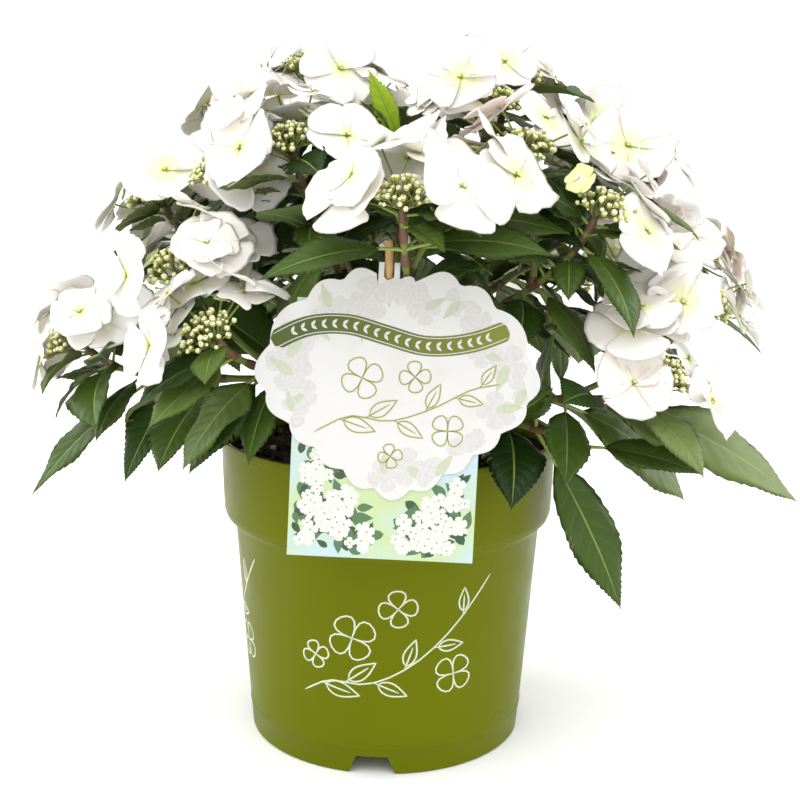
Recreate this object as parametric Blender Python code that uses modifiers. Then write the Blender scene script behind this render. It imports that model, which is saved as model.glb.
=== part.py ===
"""Potted hydrangea shrub: container, root ball, short stem, boughs, foliage and plant label.

Run with: blender --background --python part.py
Metres, +Z up.  The origin is the centre of the pot's flat underside, and the label faces -Y.
"""

import math
import random
from collections import namedtuple

import bmesh
import bpy
from mathutils import Matrix, Vector

MM = 0.001
CLEAR = 0.3 * MM  # gap between solids that touch
WELD = 0.001 * MM
SHARP = math.radians(35)  # an edge over this stays sharp when its piece is shaded smooth
UP = Vector((0, 0, 1))

# Container: five litres, with a deep collar round its top
POT_HEIGHT = 200 * MM
RIM_RADIUS = 110 * MM
LIP_DEPTH = 4 * MM
LIP_ROUND = 0.8 * MM
LIP_STEP = 0.9 * MM  # the lip's reach over the collar
COLLAR_RADIUS = 107.6 * MM  # at the collar's lower edge
COLLAR_BOTTOM = 151 * MM
COLLAR_UNDERCUT = ((1.2 * MM, 3.4 * MM), (4.2 * MM, 4.8 * MM))  # inwards and down from there
SHOULDER_RADIUS = 100.3 * MM  # where the wall starts under the collar
SHOULDER_HEIGHT = 141 * MM
FOOT_RADIUS = 90 * MM
FOOT_EDGE = 1 * MM
WALL = 2 * MM
FLOOR = 14 * MM
INNER_EASE = 1 * MM  # how far the inner face's corners lie off the outer ones
STEPS = 32  # flats round every turned piece

# Four drainage channels across the underside, each with one hole up into the pot
CHANNEL_FOOT = 30 * MM
CHANNEL_TOP = 20 * MM
CHANNEL_HEIGHT = 12 * MM
CHANNEL_START = 25 * MM
CHANNEL_TURN = -94.6  # degrees, the front channel
DRAIN_RADIUS = 5 * MM
DRAIN_REACH = 62 * MM
CUT_PAST = 20 * MM  # how far a cutter runs past what it cuts

# Root ball: it fills the pot up to below the rim
SOIL_TOP = 186 * MM
SOIL_CROWN = 60 * MM  # radius of its level middle, which is a millimetre higher than its edge

# Short stem: foot, flare, taper and lean, as (height over the soil, radius)
TRUNK_TAPER = ((0, 14), (4, 11), (14, 9), (44, 8), (72, 7))  # mm
TRUNK_LEAN = 0.04  # metres sideways for each metre up
TRUNK_FLAT = 0.955  # a flat's distance from the middle, as a share of the radius

# Plant label: a wavy board and a card behind it, on a cane stick
LABEL_TOP = Vector((0, -109.1, 312.5)) * MM  # the foot of the notch in the board's tab
LABEL_LEAN = math.radians(6.8)  # its lower edge hangs forward, over the rim
LABEL_ROLL = math.radians(-2.0)
BOARD_HALF = (79 * MM, 65 * MM)
BOARD_MIDDLE = (7.5 * MM, -58 * MM)  # across and up from LABEL_TOP
BOARD_THICK = 0.8 * MM
BOARD_LOBES = 17
BOARD_OPEN = math.radians(11)  # half of the stretch at its top that the tab takes
BOARD_NARROW = 0.50  # how much its lower edge draws in
BOARD_TAPER = 1.45  # how late it does so
BOARD_STRAY = 0.35  # how unequal its lobes are
BOARD_WAVE = 2.4 * MM
TAB_HALF = 6 * MM
TAB_TOP = 10 * MM
TAB_CUT = 5 * MM  # depth of the cuts on both sides of the tab, under the notch's foot
CARD_HALF = (53.5 * MM, 74 * MM)
CARD_MIDDLE = (2.3 * MM, -86 * MM)
CARD_THICK = 0.5 * MM
STICK_RADIUS = 2.55 * MM
STICK_TOP = Vector((0, -107.8, 335)) * MM
STICK_FOOT = Vector((0, -88.0, 130)) * MM

# Canes.  A place is (azimuth in degrees, reach from the axis, height), both in mm, and the
# azimuth is counted from +X towards +Y.  The start is the side of the trunk a cane leaves from.
Cane = namedtuple("Cane", "name start tip side_heads blooms")
CANES = (
    Cane("left_low", 190, (186, 200, 263), (), True),
    Cane("left_front", 228, (230, 156, 286), ((213, 147, 318),), True),
    Cane("left_high", 178, (180, 148, 352), ((157, 158, 336),), True),
    Cane("top_left", 150, (135, 72, 432), ((162, 104, 404),), True),
    Cane("front_left", 236, (232, 94, 390), ((205, 112, 370),), True),
    Cane("front", 294, (273, 141, 364), ((290, 106, 376),), True),
    Cane("top_right", 25, (24, 82, 428), ((344, 62, 412),), True),
    Cane("right_high", 2, (2, 150, 384), ((28, 142, 372),), True),
    Cane("front_right", 334, (322, 152, 356), ((318, 104, 388),), True),
    Cane("right", 10, (9, 200, 316), ((30, 192, 300),), True),
    Cane("right_low", 333, (328, 186, 262), ((343, 196, 298),), True),
    Cane("right_skirt", 304, (327, 148, 208), (), False),
    Cane("young_tip", 350, (350, 8, 394), (), False),
    Cane("back_right", 52, (56, 176, 340), ((48, 194, 286),), True),
    Cane("back", 70, (92, 152, 376), ((101, 190, 306),), True),
    Cane("back_left", 130, (131, 172, 340), ((141, 194, 284),), True),
    Cane("back_high", 106, (104, 92, 406), ((66, 106, 396),), True),
)
LEADER = "young_tip"  # the cane that stands on the trunk's end and has no bough
START_HEIGHTS = (200 * MM, 252 * MM)  # where the lowest and the highest canes leave the trunk
TIP_HEIGHTS = (200 * MM, 430 * MM)
START_RISE = (30, 62)  # degrees over level, for the same two
REACH_OUT = 0.36  # share of its length that a cane keeps its first heading for
REACH_IN = 0.32  # and its last one
BOUGH_SHARE = 0.40  # the bough's part of a cane
BOUGH_RADII = (3.3 * MM, 2.4 * MM)
BOUGH_FLAT = 0.90
BOUGH_RUNS = 5
LEAFY_WAY = (0.96, -0.28)  # outwards and up, the last heading of a low cane with no flowers
STEM_RADII = (2.4 * MM, 2.0 * MM)
TWIG_RADII = (2.2 * MM, 1.9 * MM)
STEM_RUNS = 6  # straight runs of a mass's stem
TWIG_RUNS = 3
SIDE_FORK = 0.60  # where on its cane a side twig forks off
SIDE_REACH = 0.35  # as REACH_OUT and REACH_IN, for a side twig

# Flower heads: a dome of small buds in a ring of showy florets
HEAD_LEAN = (6, 40)  # degrees from upright, for the highest and the lowest heads
HEAD_HEIGHTS = (440 * MM, 260 * MM)
DOME_RADIUS = 12 * MM
DOME_RISE = 7 * MM
DOME_SUNK = 0.6  # how far under the dome's middle its stem ends, as a share of its rise
FLORETS = (5, 5)
FLORET_RADII = (22.5 * MM, 28.5 * MM)
FLORET_RING = (29 * MM, 37 * MM)
FLORET_RISE = (-6 * MM, 12 * MM)  # over the dome's middle
FLORET_TILT = (26, 66)  # degrees outwards
FLORET_LIFT = 0.14  # how much a floret turns up to the sky
FLORET_FRONT = 0.36  # and to the label's side
FLORET_STRAY = 0.25  # radians off its even place in the ring
RING_GAP = 75  # degrees of a ring that stay open, where the dome shows
RING_TURN = 20  # degrees that the open stretch strays
RING_FRONT = 1.4  # how much it turns from outwards to the label's side
RING_BACK = 90 * MM  # heads behind this open, and their florets face, outwards only
FLORET_STALK = 0.9 * MM
STALK_STEP = 2.4 * MM  # down the stem from one floret's stalk to the next
FLORET_NOTCH = 0.84  # of the radius, between two petals
FLORET_DISH = 0.10
FLORET_BELLY = (1.6 * MM, 0.8 * MM)  # below and above its middle

# Leaves
NODES = (0.50, 0.62, 0.74, 0.86, 0.94)  # shares of a cane where a leaf pair stands
SIDE_NODE = 0.62  # and of a side twig
LEAF_LENGTHS = (108 * MM, 62 * MM)  # with its stalk, at the first and the last node
LEAF_STALK = 0.17
LEAF_HALF_WIDTH = 0.235  # of the whole length
LEAF_KEEL = 1.6 * MM
STALK_RADIUS = 1.1 * MM
LEAF_SPREAD = (52, 72)  # degrees between a leaf and its stem
LEAF_BEND = (28, 62)  # degrees that a leaf droops over its length
LEAF_TURN = 14  # degrees off its even place round the stem
LEAF_ROLL = 18
LEAF_SIZES = (0.88, 1.08)
LEAF_FIRST_TURN = 25
GROWN_FACE = (0.8, 0.35)  # upwards and outwards, the way that a leaf faces
PLACED_FACE = (0.75, 0.55)
STEEPEST_FALL = -0.35  # a leaf that would leave its stem more steeply down is lifted
FALL_LIFT = 0.3
WIDEST = 0.40  # share of the blade
LOWEST_TIP = 185 * MM  # of a leaf with no place of its own

# Leaves with a place of their own: cane, share of the cane, tip, bend, roll, width.
# The bend and the roll are in degrees, and the width is a share of the leaf's length.
PLACED_LEAVES = (
    ("front", 0.80, (306, 155, 329), 45, 0, 0.21),
    ("front", 0.80, (244, 159, 315), 40, 0, 0.17),
    ("front_left", 0.66, (239, 142, 350), 20, 10, 0.22),
    ("front_left", 0.62, (222, 112, 352), 30, 0, 0.18),
    ("left_front", 0.84, (227, 194, 232), 25, -15, 0.24),
    ("left_front", 0.66, (225, 166, 202), 35, 0, 0.30),
    ("left_front", 0.58, (235, 139, 205), 40, 0, 0.20),
    ("left_low", 0.86, (202, 190, 214), 60, 0, 0.34),
    ("left_low", 0.70, (187, 231, 160), 30, -35, 0.12),
    ("left_low", 0.62, (197, 172, 176), 30, -30, 0.20),
    ("left_low", 0.86, (208, 196, 268), 25, 0, 0.15),
    ("left_low", 0.80, (176, 226, 226), 30, 0, 0.18),
    ("right_skirt", 0.74, (315, 136, 282), 20, 180, 0.23),
    ("right_skirt", 0.56, (316, 138, 257), 25, 180, 0.20),
    ("right_skirt", 0.60, (301, 140, 182), 55, 0, 0.24),
    ("right_skirt", 0.98, (332, 210, 199), 30, 15, 0.20),
    ("right_skirt", 0.74, (342, 158, 96), 35, 60, 0.12),
    ("right_low", 0.64, (346, 224, 190), 35, 0, 0.22),
    ("right_low", 0.80, (347, 262, 171), 35, 35, 0.16),
    ("right_low", 0.56, (358, 196, 156), 50, 35, 0.17),
    ("right", 0.80, (8, 254, 248), 45, 0, 0.24),
    ("front_right", 0.74, (325, 176, 318), 35, 0, 0.20),
)
# On the young shoot the leaves are small and stand up round the tip
YOUNG_LEAVES = (
    (0.93, (218, 19, 430), 12, 42, 0.14),
    (0.93, (322, 13, 431), 12, -42, 0.14),
    (0.89, (344, 24, 418), 20, -60, 0.25),
    (0.89, (200, 22, 412), 20, 60, 0.25),
    (0.84, (218, 30, 397), 40, 0, 0.24),
    (0.84, (336, 36, 391), 40, 0, 0.22),
)

# Keeping apart: leaves and florets are tried as clouds of points at this spacing
SPACING = 5.5 * MM
GAP_OTHER = 4.4 * MM  # between the clouds of two masses
GAP_OWN = 2.6 * MM
GAP_POT = 3 * MM
CUBE = 9 * MM
TRIES = 9
SHRINK = 0.05  # of a leaf's length at each further try
SEARCH_TURN = 4  # degrees round the stem at each further try
SEARCH_SHIFT = 1.5 * MM  # of a placed leaf's tip
FREE_STALK = 0.05  # share of a blade next to its stalk that may lie on its own stem
DOME_THICK = 2 * MM
FLAT_ANGLES = (1.0, 0.3, 0.0)  # degrees: faces of a joined mass this near to level are merged

Twig = namedtuple("Twig", "curve first runs radii")
Leaf = namedtuple("Leaf", "root way normal bend length half_width stalk")
Floret = namedtuple("Floret", "root centre normal along radius")
Head = namedtuple("Head", "place axis")
Growth = namedtuple("Growth", "stem sides heads florets leaves")


# ---------------------------------------------------------------- places and curves


def place(azimuth, reach, height):
    """The point at a named azimuth in degrees, reach and height in mm."""
    turn = math.radians(azimuth)
    return Vector((reach * math.cos(turn), reach * math.sin(turn), height)) * MM


def blend(pair, share):
    """The value at a share, from 0 to 1, of the way between two."""
    share = min(max(share, 0), 1)
    return pair[0] + (pair[1] - pair[0]) * share


def outward(point):
    """Level direction from the pot's axis to a point."""
    return Vector((point.x, point.y, 0)).normalized()


def square_to(vector, way):
    """The part of a vector that stands square on a direction, at length one."""
    return (vector - way * vector.dot(way)).normalized()


def bezier(ends, t):
    """Point on a cubic curve."""
    a, b, c, d = ends
    s = 1 - t
    return a * s**3 + b * (3 * s * s * t) + c * (3 * s * t * t) + d * t**3


def bezier_slope(ends, t):
    """Change of a cubic curve's point for each whole step of t."""
    a, b, c, d = ends
    s = 1 - t
    return ((b - a) * (s * s) + (c - b) * (2 * s * t) + (d - c) * (t * t)) * 3


def bezier_way(ends, t):
    """Direction of a cubic curve."""
    return bezier_slope(ends, t).normalized()


def head_at(tip):
    """A flower head: its place, and the way it faces, lower heads leaning further out."""
    point = place(*tip)
    low = (point.z - HEAD_HEIGHTS[0]) / (HEAD_HEIGHTS[1] - HEAD_HEIGHTS[0])
    lean = math.radians(blend(HEAD_LEAN, low))
    return Head(point, UP * math.cos(lean) + outward(point) * math.sin(lean))


def cane_curve(cane):
    """The four points of a cane's curve, from the trunk's side to its tip."""
    head = head_at(cane.tip)
    share = (head.place.z - TIP_HEIGHTS[0]) / (TIP_HEIGHTS[1] - TIP_HEIGHTS[0])
    level = blend(START_HEIGHTS, share)
    rise = math.radians(blend(START_RISE, share))
    side = place(cane.start, 1 / MM, 0)
    if cane.name == LEADER:
        start = trunk_point(TRUNK_TAPER[-1][0] * MM) + UP * CLEAR
        first = last = UP
    else:
        depth = TRUNK_FLAT * trunk_radius(level - SOIL_TOP) + CLEAR
        depth += BOUGH_FLAT * BOUGH_RADII[0] * math.sin(rise)
        start = trunk_point(level - SOIL_TOP) + side * depth
        first = side * math.cos(rise) + UP * math.sin(rise)
        last = head.axis
    if not cane.blooms and cane.name != LEADER:
        last = outward(head.place) * LEAFY_WAY[0] + UP * LEAFY_WAY[1]
    end = head.place - last * DOME_RISE * DOME_SUNK
    size = (end - start).length
    return (start, start + first * (REACH_OUT * size), end - last * (REACH_IN * size), end)


def stem_of(cane):
    """The stem of a cane's mass, which starts just clear of its bough's tip."""
    curve = cane_curve(cane)
    first = 0.0
    if cane.name != LEADER:
        first = BOUGH_SHARE + CLEAR / bezier_slope(curve, BOUGH_SHARE).length
    return Twig(curve, first, STEM_RUNS, STEM_RADII)


def side_of(stem, tip):
    """A side twig that forks off a stem and carries a flower head."""
    head = head_at(tip)
    start = twig_point(stem, SIDE_FORK)
    end = head.place - head.axis * DOME_RISE * DOME_SUNK
    reach = SIDE_REACH * (end - start).length
    way = (bezier_way(stem.curve, SIDE_FORK) + (end - start).normalized()).normalized()
    curve = (start, start + way * reach, end - head.axis * reach, end)
    return Twig(curve, 0, TWIG_RUNS, TWIG_RADII)


def twig_point(twig, share):
    """The point of a twig's straight runs at a share of its curve."""
    run = max(0, share - twig.first) / (1 - twig.first) * twig.runs
    low = min(int(run), twig.runs - 1)
    ends = [twig.first + (1 - twig.first) * i / twig.runs for i in (low, low + 1)]
    return bezier(twig.curve, ends[0]).lerp(bezier(twig.curve, ends[1]), run - low)


# ---------------------------------------------------------------- keeping apart


class Space:
    """Points that are taken, sorted into cubes, each with its owner and its thickness."""

    def __init__(self):
        self.cubes = {}

    def cube(self, point):
        return tuple(int(math.floor(value / CUBE)) for value in point)

    def take(self, points, owner, thickness=0.0):
        for point in points:
            entry = (point.x, point.y, point.z, owner, thickness)
            self.cubes.setdefault(self.cube(point), []).append(entry)

    def clashes(self, point, owner, free):
        """Whether a point is too near to another owner's, or, if it is free, to its own."""
        ci, cj, ck = self.cube(point)
        for i in (ci - 1, ci, ci + 1):
            for j in (cj - 1, cj, cj + 1):
                for k in (ck - 1, ck, ck + 1):
                    for x, y, z, other, thickness in self.cubes.get((i, j, k), ()):
                        if other == owner and not free:
                            continue
                        gap = (GAP_OWN if other == owner else GAP_OTHER) + thickness
                        apart = (x - point.x) ** 2 + (y - point.y) ** 2 + (z - point.z) ** 2
                        if apart < gap * gap:
                            return "own" if other == owner else "other"
        return ""

    def verdict(self, cloud, owner):
        """'' where a cloud of (point, free) fits, 'own' or 'other' where it clashes."""
        worst = ""
        for point, free in cloud:
            if in_pot(point) or in_label(point):
                return "other"
            found = self.clashes(point, owner, free)
            if found == "other":
                return found
            worst = found or worst
        return worst


def in_pot(point):
    """Whether a point is in or too near the pot."""
    radius = RIM_RADIUS if point.z > SHOULDER_HEIGHT else SHOULDER_RADIUS
    near = math.hypot(point.x, point.y) < radius + GAP_POT
    return near and point.z < POT_HEIGHT + GAP_POT


def in_label(point):
    """Whether a point is in, just behind or anywhere in front of the label."""
    across, along, ahead = label_place().inverted() @ point
    if ahead < -GAP_OTHER - BOARD_THICK:
        return False
    wide = (across - BOARD_MIDDLE[0]) / (BOARD_HALF[0] + GAP_OTHER)
    high = (along - BOARD_MIDDLE[1]) / (BOARD_HALF[1] + GAP_OTHER)
    on_card = (
        abs(across - CARD_MIDDLE[0]) < CARD_HALF[0] + GAP_OTHER
        and abs(along - CARD_MIDDLE[1]) < CARD_HALF[1] + GAP_OTHER
    )
    on_tab = abs(across) < TAB_HALF + GAP_OTHER and abs(along) < TAB_TOP + GAP_OTHER
    return wide * wide + high * high < 1 or on_card or on_tab


def line_points(start, end, step=3 * MM):
    """Points along a straight line."""
    count = max(1, int((end - start).length / step))
    return [start.lerp(end, i / count) for i in range(count + 1)]


def curve_points(curve, first, last, step=3 * MM):
    """Points along a part of a cubic curve."""
    count = max(2, int((curve[3] - curve[0]).length * (last - first) / step))
    return [bezier(curve, first + (last - first) * i / count) for i in range(count + 1)]


# ---------------------------------------------------------------- leaves


def leaf_at(leaf, share):
    """Point, direction and normal at a share of a leaf's length, which bends evenly."""
    turn = leaf.bend * share
    size = leaf.length / leaf.bend
    point = leaf.root + leaf.way * (size * math.sin(turn))
    point = point - leaf.normal * (size * (1 - math.cos(turn)))
    way = leaf.way * math.cos(turn) - leaf.normal * math.sin(turn)
    normal = leaf.normal * math.cos(turn) + leaf.way * math.sin(turn)
    return point, way, normal


def leaf_cloud(leaf):
    """Points over a leaf, each with whether it is free of the leaf's own stem."""
    across = leaf.way.cross(leaf.normal)
    cloud = []
    count = max(3, round(leaf.length / SPACING))
    widest = leaf.stalk + WIDEST * (1 - leaf.stalk)
    for share in [widest] + [i / count for i in range(1, count + 1)]:
        point = leaf_at(leaf, share)[0]
        blade = (share - leaf.stalk) / (1 - leaf.stalk)
        wide = 0.0
        if blade > 0:
            wide = leaf.half_width * min(blade / WIDEST, (1 - blade) / (1 - WIDEST))
        rows = math.ceil(wide / SPACING)
        for j in range(-rows, rows + 1):
            shift = wide * j / rows if rows else 0.0
            cloud.append((point + across * shift, blade > FREE_STALK))
    return cloud


def leaf_towards(root, tip, bend, roll, width):
    """The leaf that grows from a root to a tip, bent over and rolled by degrees."""
    chord = tip - root
    bend = math.radians(bend)
    straight = chord.normalized()
    normal = square_to(UP * PLACED_FACE[0] + outward(tip) * PLACED_FACE[1], straight)
    normal = Matrix.Rotation(math.radians(roll), 3, straight) @ normal
    half = bend / 2
    way = straight * math.cos(half) + normal * math.sin(half)
    normal = normal * math.cos(half) - straight * math.sin(half)
    length = chord.length * half / math.sin(half)
    return Leaf(root, way, normal, bend, length, width * length, LEAF_STALK)


def leaf_beside(twig, share, turn, length, dice):
    """A leaf at a share of a twig, turned round the twig, with its own small differences."""
    root = twig_point(twig, share)
    stem = bezier_way(twig.curve, share)
    level = square_to(stem.cross(UP) if abs(stem.z) < 0.98 else Vector((1, 0, 0)), stem)
    other = level.cross(stem)
    turn = math.radians(turn + dice.uniform(-LEAF_TURN, LEAF_TURN))
    side = level * math.cos(turn) + other * math.sin(turn)
    spread = math.radians(dice.uniform(*LEAF_SPREAD))
    way = (side * math.sin(spread) + stem * math.cos(spread)).normalized()
    if way.z < STEEPEST_FALL:
        way = (way + UP * FALL_LIFT).normalized()
    sky = UP * GROWN_FACE[0] + outward(root + way * length) * GROWN_FACE[1]
    normal = square_to(sky, way)
    roll = math.radians(dice.uniform(-LEAF_ROLL, LEAF_ROLL))
    normal = Matrix.Rotation(roll, 3, way) @ normal
    bend = math.radians(dice.uniform(*LEAF_BEND))
    size = length * dice.uniform(*LEAF_SIZES)
    return Leaf(root, way, normal, bend, size, size * LEAF_HALF_WIDTH, LEAF_STALK)


# ---------------------------------------------------------------- flower heads


def head_frame(head):
    """Two directions square on a head's axis."""
    first = square_to(outward(head.place) + UP * 0.01, head.axis)
    return first, head.axis.cross(first)


def open_turn(head):
    """The middle of the stretch of a head's ring that stays open, as a turn in its frame."""
    first, second = head_frame(head)
    way = outward(head.place)
    if head.place.y < RING_BACK:
        way = way + Vector((0, -RING_FRONT, 0))
    return math.atan2(way.dot(second), way.dot(first))


def floret_cloud(floret):
    """Points over a floret, in rings."""
    other = floret.normal.cross(floret.along)
    cloud = [(floret.centre, True)]
    rings = max(1, round(floret.radius / SPACING))
    for ring in range(1, rings + 1):
        radius = floret.radius * ring / rings
        count = max(6, round(2 * math.pi * radius / SPACING))
        for i in range(count):
            turn = 2 * math.pi * i / count
            step = floret.along * math.cos(turn) + other * math.sin(turn)
            cloud.append((floret.centre + step * radius, True))
    return cloud


def floret_beside(head, twig, number, turn, dice):
    """A floret in the ring round a head, on a stalk from the twig just under its dome."""
    first, second = head_frame(head)
    turn = turn + dice.uniform(-FLORET_STRAY, FLORET_STRAY)
    side = first * math.cos(turn) + second * math.sin(turn)
    rise = dice.uniform(*FLORET_RISE)
    centre = head.place + side * dice.uniform(*FLORET_RING) + head.axis * rise
    tilt = math.radians(dice.uniform(*FLORET_TILT))
    normal = head.axis * math.cos(tilt) + side * math.sin(tilt)
    front = FLORET_FRONT if head.place.y < RING_BACK else 0
    normal = (normal + UP * FLORET_LIFT - Vector((0, front, 0))).normalized()
    along = square_to(side, normal)
    along = Matrix.Rotation(dice.uniform(0, math.pi / 2), 3, normal) @ along
    below = STALK_STEP * (number + 1.5)
    root = twig_point(twig, 1 - below / bezier_slope(twig.curve, 1).length)
    return Floret(root, centre, normal, along, dice.uniform(*FLORET_RADII))


# ---------------------------------------------------------------- growing


def grow_heads(name, growth, space, seed):
    """Adds the florets of a cane's heads that fit."""
    for number, (head, twig) in enumerate(zip(growth.heads, [growth.stem] + growth.sides)):
        dice = random.Random(seed * 100 + number)
        count = dice.randint(*FLORETS)
        start = open_turn(head) + math.radians(RING_GAP / 2 + dice.uniform(-RING_TURN, RING_TURN))
        for i in range(count):
            turn = start + math.radians(360 - RING_GAP) * (i + 0.5) / count
            for attempt in range(TRIES):
                floret = floret_beside(head, twig, i, turn, dice)
                cloud = floret_cloud(floret)
                verdict = space.verdict(cloud, name)
                if not verdict or (verdict == "own" and attempt == TRIES - 1):
                    space.take((point for point, _ in cloud), name)
                    growth.florets.append(floret)
                    break


def grow_placed_leaves(plant, space):
    """Adds the leaves with a place of their own."""
    rows = list(PLACED_LEAVES)
    rows += [(LEADER, *row) for row in YOUNG_LEAVES]
    for number, (name, share, tip, bend, roll, width) in enumerate(rows):
        dice = random.Random(7000 + number)
        root = twig_point(plant[name].stem, share)
        for attempt in range(TRIES):
            shift = Vector([dice.uniform(-1, 1) for _ in "xyz"]) * (SEARCH_SHIFT * attempt)
            leaf = leaf_towards(root, place(*tip) + shift, bend, roll, width)
            cloud = leaf_cloud(leaf)
            verdict = space.verdict(cloud, name)
            if verdict != "other" and (not verdict or attempt > TRIES // 2):
                space.take((point for point, free in cloud if free), name)
                plant[name].leaves.append(leaf)
                break


def grow_leaf(name, twig, share, turn, length, space, dice):
    """One leaf of a pair, smaller or turned a little further at each try, or None."""
    for attempt in range(TRIES):
        size = length * (1 - SHRINK * attempt)
        around = turn + dice.uniform(-SEARCH_TURN, SEARCH_TURN) * attempt
        leaf = leaf_beside(twig, share, around, size, dice)
        cloud = leaf_cloud(leaf)
        if leaf_at(leaf, 1)[0].z > LOWEST_TIP and not space.verdict(cloud, name):
            space.take((point for point, free in cloud if free), name)
            return leaf
    return None


def grow_leaves(name, growth, space, seed):
    """Adds the leaf pairs of a cane and of its side twigs."""
    places = [(growth.stem, share, index) for index, share in enumerate(NODES)]
    places += [(side, SIDE_NODE, 3) for side in growth.sides]
    for number, (twig, share, index) in enumerate(places):
        length = blend(LEAF_LENGTHS, index / (len(NODES) - 1))
        for half in (0, 1):
            dice = random.Random(seed * 100 + 50 + number * 2 + half)
            turn = 90 * index + 180 * half + LEAF_FIRST_TURN
            leaf = grow_leaf(name, twig, share, turn, length, space, dice)
            if leaf:
                growth.leaves.append(leaf)


def dome_rim(head):
    """Points round a head's dome."""
    first, second = head_frame(head)
    return [
        head.place + (first * math.cos(turn) + second * math.sin(turn)) * DOME_RADIUS * share
        for share in (0.4, 0.9)
        for turn in (math.radians(30 * i) for i in range(12))
    ]


def grow_plant():
    """Everything on each cane: its stem, side twigs, heads, florets and leaves."""
    space = Space()
    space.take(trunk_surface(), "trunk")
    space.take(line_points(STICK_FOOT, STICK_TOP), "stick", STICK_RADIUS)
    plant = {}
    for cane in CANES:
        name = cane.name
        stem = stem_of(cane)
        sides = [side_of(stem, tip) for tip in cane.side_heads]
        tips = ((cane.tip,) if cane.blooms else ()) + cane.side_heads
        plant[name] = Growth(stem, sides, [head_at(tip) for tip in tips], [], [])
        space.take(curve_points(stem.curve, 0, stem.first), "bough", BOUGH_RADII[0])
        space.take(curve_points(stem.curve, stem.first + 0.02, 0.97), name, STEM_RADII[0])
        for side in sides:
            space.take(curve_points(side.curve, 0, 0.97), name, TWIG_RADII[0])
        for head in plant[name].heads:
            space.take(dome_rim(head), name, DOME_THICK)
    for seed, cane in enumerate(CANES, 1):
        grow_heads(cane.name, plant[cane.name], space, seed)
    grow_placed_leaves(plant, space)
    for seed, cane in enumerate(CANES, 1):
        if cane.blooms:
            grow_leaves(cane.name, plant[cane.name], space, seed)
    return plant


# ---------------------------------------------------------------- solids


def material(name, colour, roughness, metallic=0.0):
    """A Principled BSDF with plain values."""
    made = bpy.data.materials.new(name)
    made.use_nodes = True
    shader = made.node_tree.nodes["Principled BSDF"]
    shader.inputs["Base Color"].default_value = (*colour, 1)
    shader.inputs["Roughness"].default_value = roughness
    shader.inputs["Metallic"].default_value = metallic
    made.diffuse_color = (*colour, 1)
    return made


def collection(name):
    """A new collection in the scene."""
    made = bpy.data.collections.new(name)
    bpy.context.scene.collection.children.link(made)
    return made


def mesh_object(name, bm, home, look=None):
    """An object made from a bmesh whose faces are turned outwards."""
    bmesh.ops.recalc_face_normals(bm, faces=bm.faces)
    if bm.calc_volume(signed=True) < 0:
        bmesh.ops.reverse_faces(bm, faces=bm.faces)
    mesh = bpy.data.meshes.new(name)
    bm.to_mesh(mesh)
    bm.free()
    mesh.shade_smooth()
    mesh.set_sharp_from_angle(angle=SHARP)
    made = bpy.data.objects.new(name, mesh)
    home.objects.link(made)
    if look:
        mesh.materials.append(look)
    return made


def frozen(source, name, home, look):
    """A plain mesh object from what an object's modifiers or curve give."""
    graph = bpy.context.evaluated_depsgraph_get()
    mesh = bpy.data.meshes.new_from_object(source.evaluated_get(graph))
    bm = bmesh.new()
    bm.from_mesh(mesh)
    bm.transform(source.matrix_world)
    bmesh.ops.remove_doubles(bm, verts=bm.verts, dist=WELD)
    bpy.data.meshes.remove(mesh)
    bpy.data.objects.remove(source)
    return mesh_object(name, bm, home, look)


def turned(name, profile, home, look):
    """A solid of revolution about Z.  The profile starts and ends on the axis."""
    bm = bmesh.new()
    verts = [bm.verts.new((radius, 0, height)) for radius, height in profile]
    for first, second in zip(verts, verts[1:]):
        bm.edges.new((first, second))
    mesh = bpy.data.meshes.new(name)
    bm.to_mesh(mesh)
    bm.free()
    made = bpy.data.objects.new(name, mesh)
    home.objects.link(made)
    screw = made.modifiers.new("turn", "SCREW")
    screw.steps = screw.render_steps = STEPS
    screw.use_merge_vertices = True
    screw.merge_threshold = WELD
    screw.use_normal_calculate = True
    bpy.context.view_layer.update()
    return frozen(made, name, home, look)


def cut(target, cutters, name, home, look):
    """A solid less its cutters."""
    for cutter in cutters:
        cutter.hide_render = True
        cutter.display_type = "WIRE"
        boolean = target.modifiers.new("cut", "BOOLEAN")
        boolean.operation = "DIFFERENCE"
        boolean.object = cutter
    bpy.context.view_layer.update()
    made = frozen(target, name, home, look)
    for cutter in cutters:
        bpy.data.objects.remove(cutter)
    return made


def rod(name, start, end, radius, sides, home, look=None):
    """A straight round rod."""
    way = end - start
    turn = way.to_track_quat("Z", "Y").to_matrix().to_4x4()
    bm = bmesh.new()
    bmesh.ops.create_cone(
        bm,
        cap_ends=True,
        segments=sides,
        radius1=radius,
        radius2=radius,
        depth=way.length,
        matrix=Matrix.Translation((start + end) / 2) @ turn,
    )
    return mesh_object(name, bm, home, look)


def limb(name, points, radii, detail, home, look):
    """A tapering limb: a curve with a round bevel, as a mesh."""
    curve = bpy.data.curves.new(name, "CURVE")
    curve.dimensions = "3D"
    curve.bevel_depth = 1.0
    curve.bevel_resolution = detail
    curve.use_fill_caps = True
    spline = curve.splines.new("POLY")
    spline.points.add(len(points) - 1)
    for entry, point, radius in zip(spline.points, points, radii):
        entry.co = (*point, 1)
        entry.radius = radius
    made = bpy.data.objects.new(name, curve)
    home.objects.link(made)
    bpy.context.view_layer.update()
    return frozen(made, name, home, look)


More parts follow.
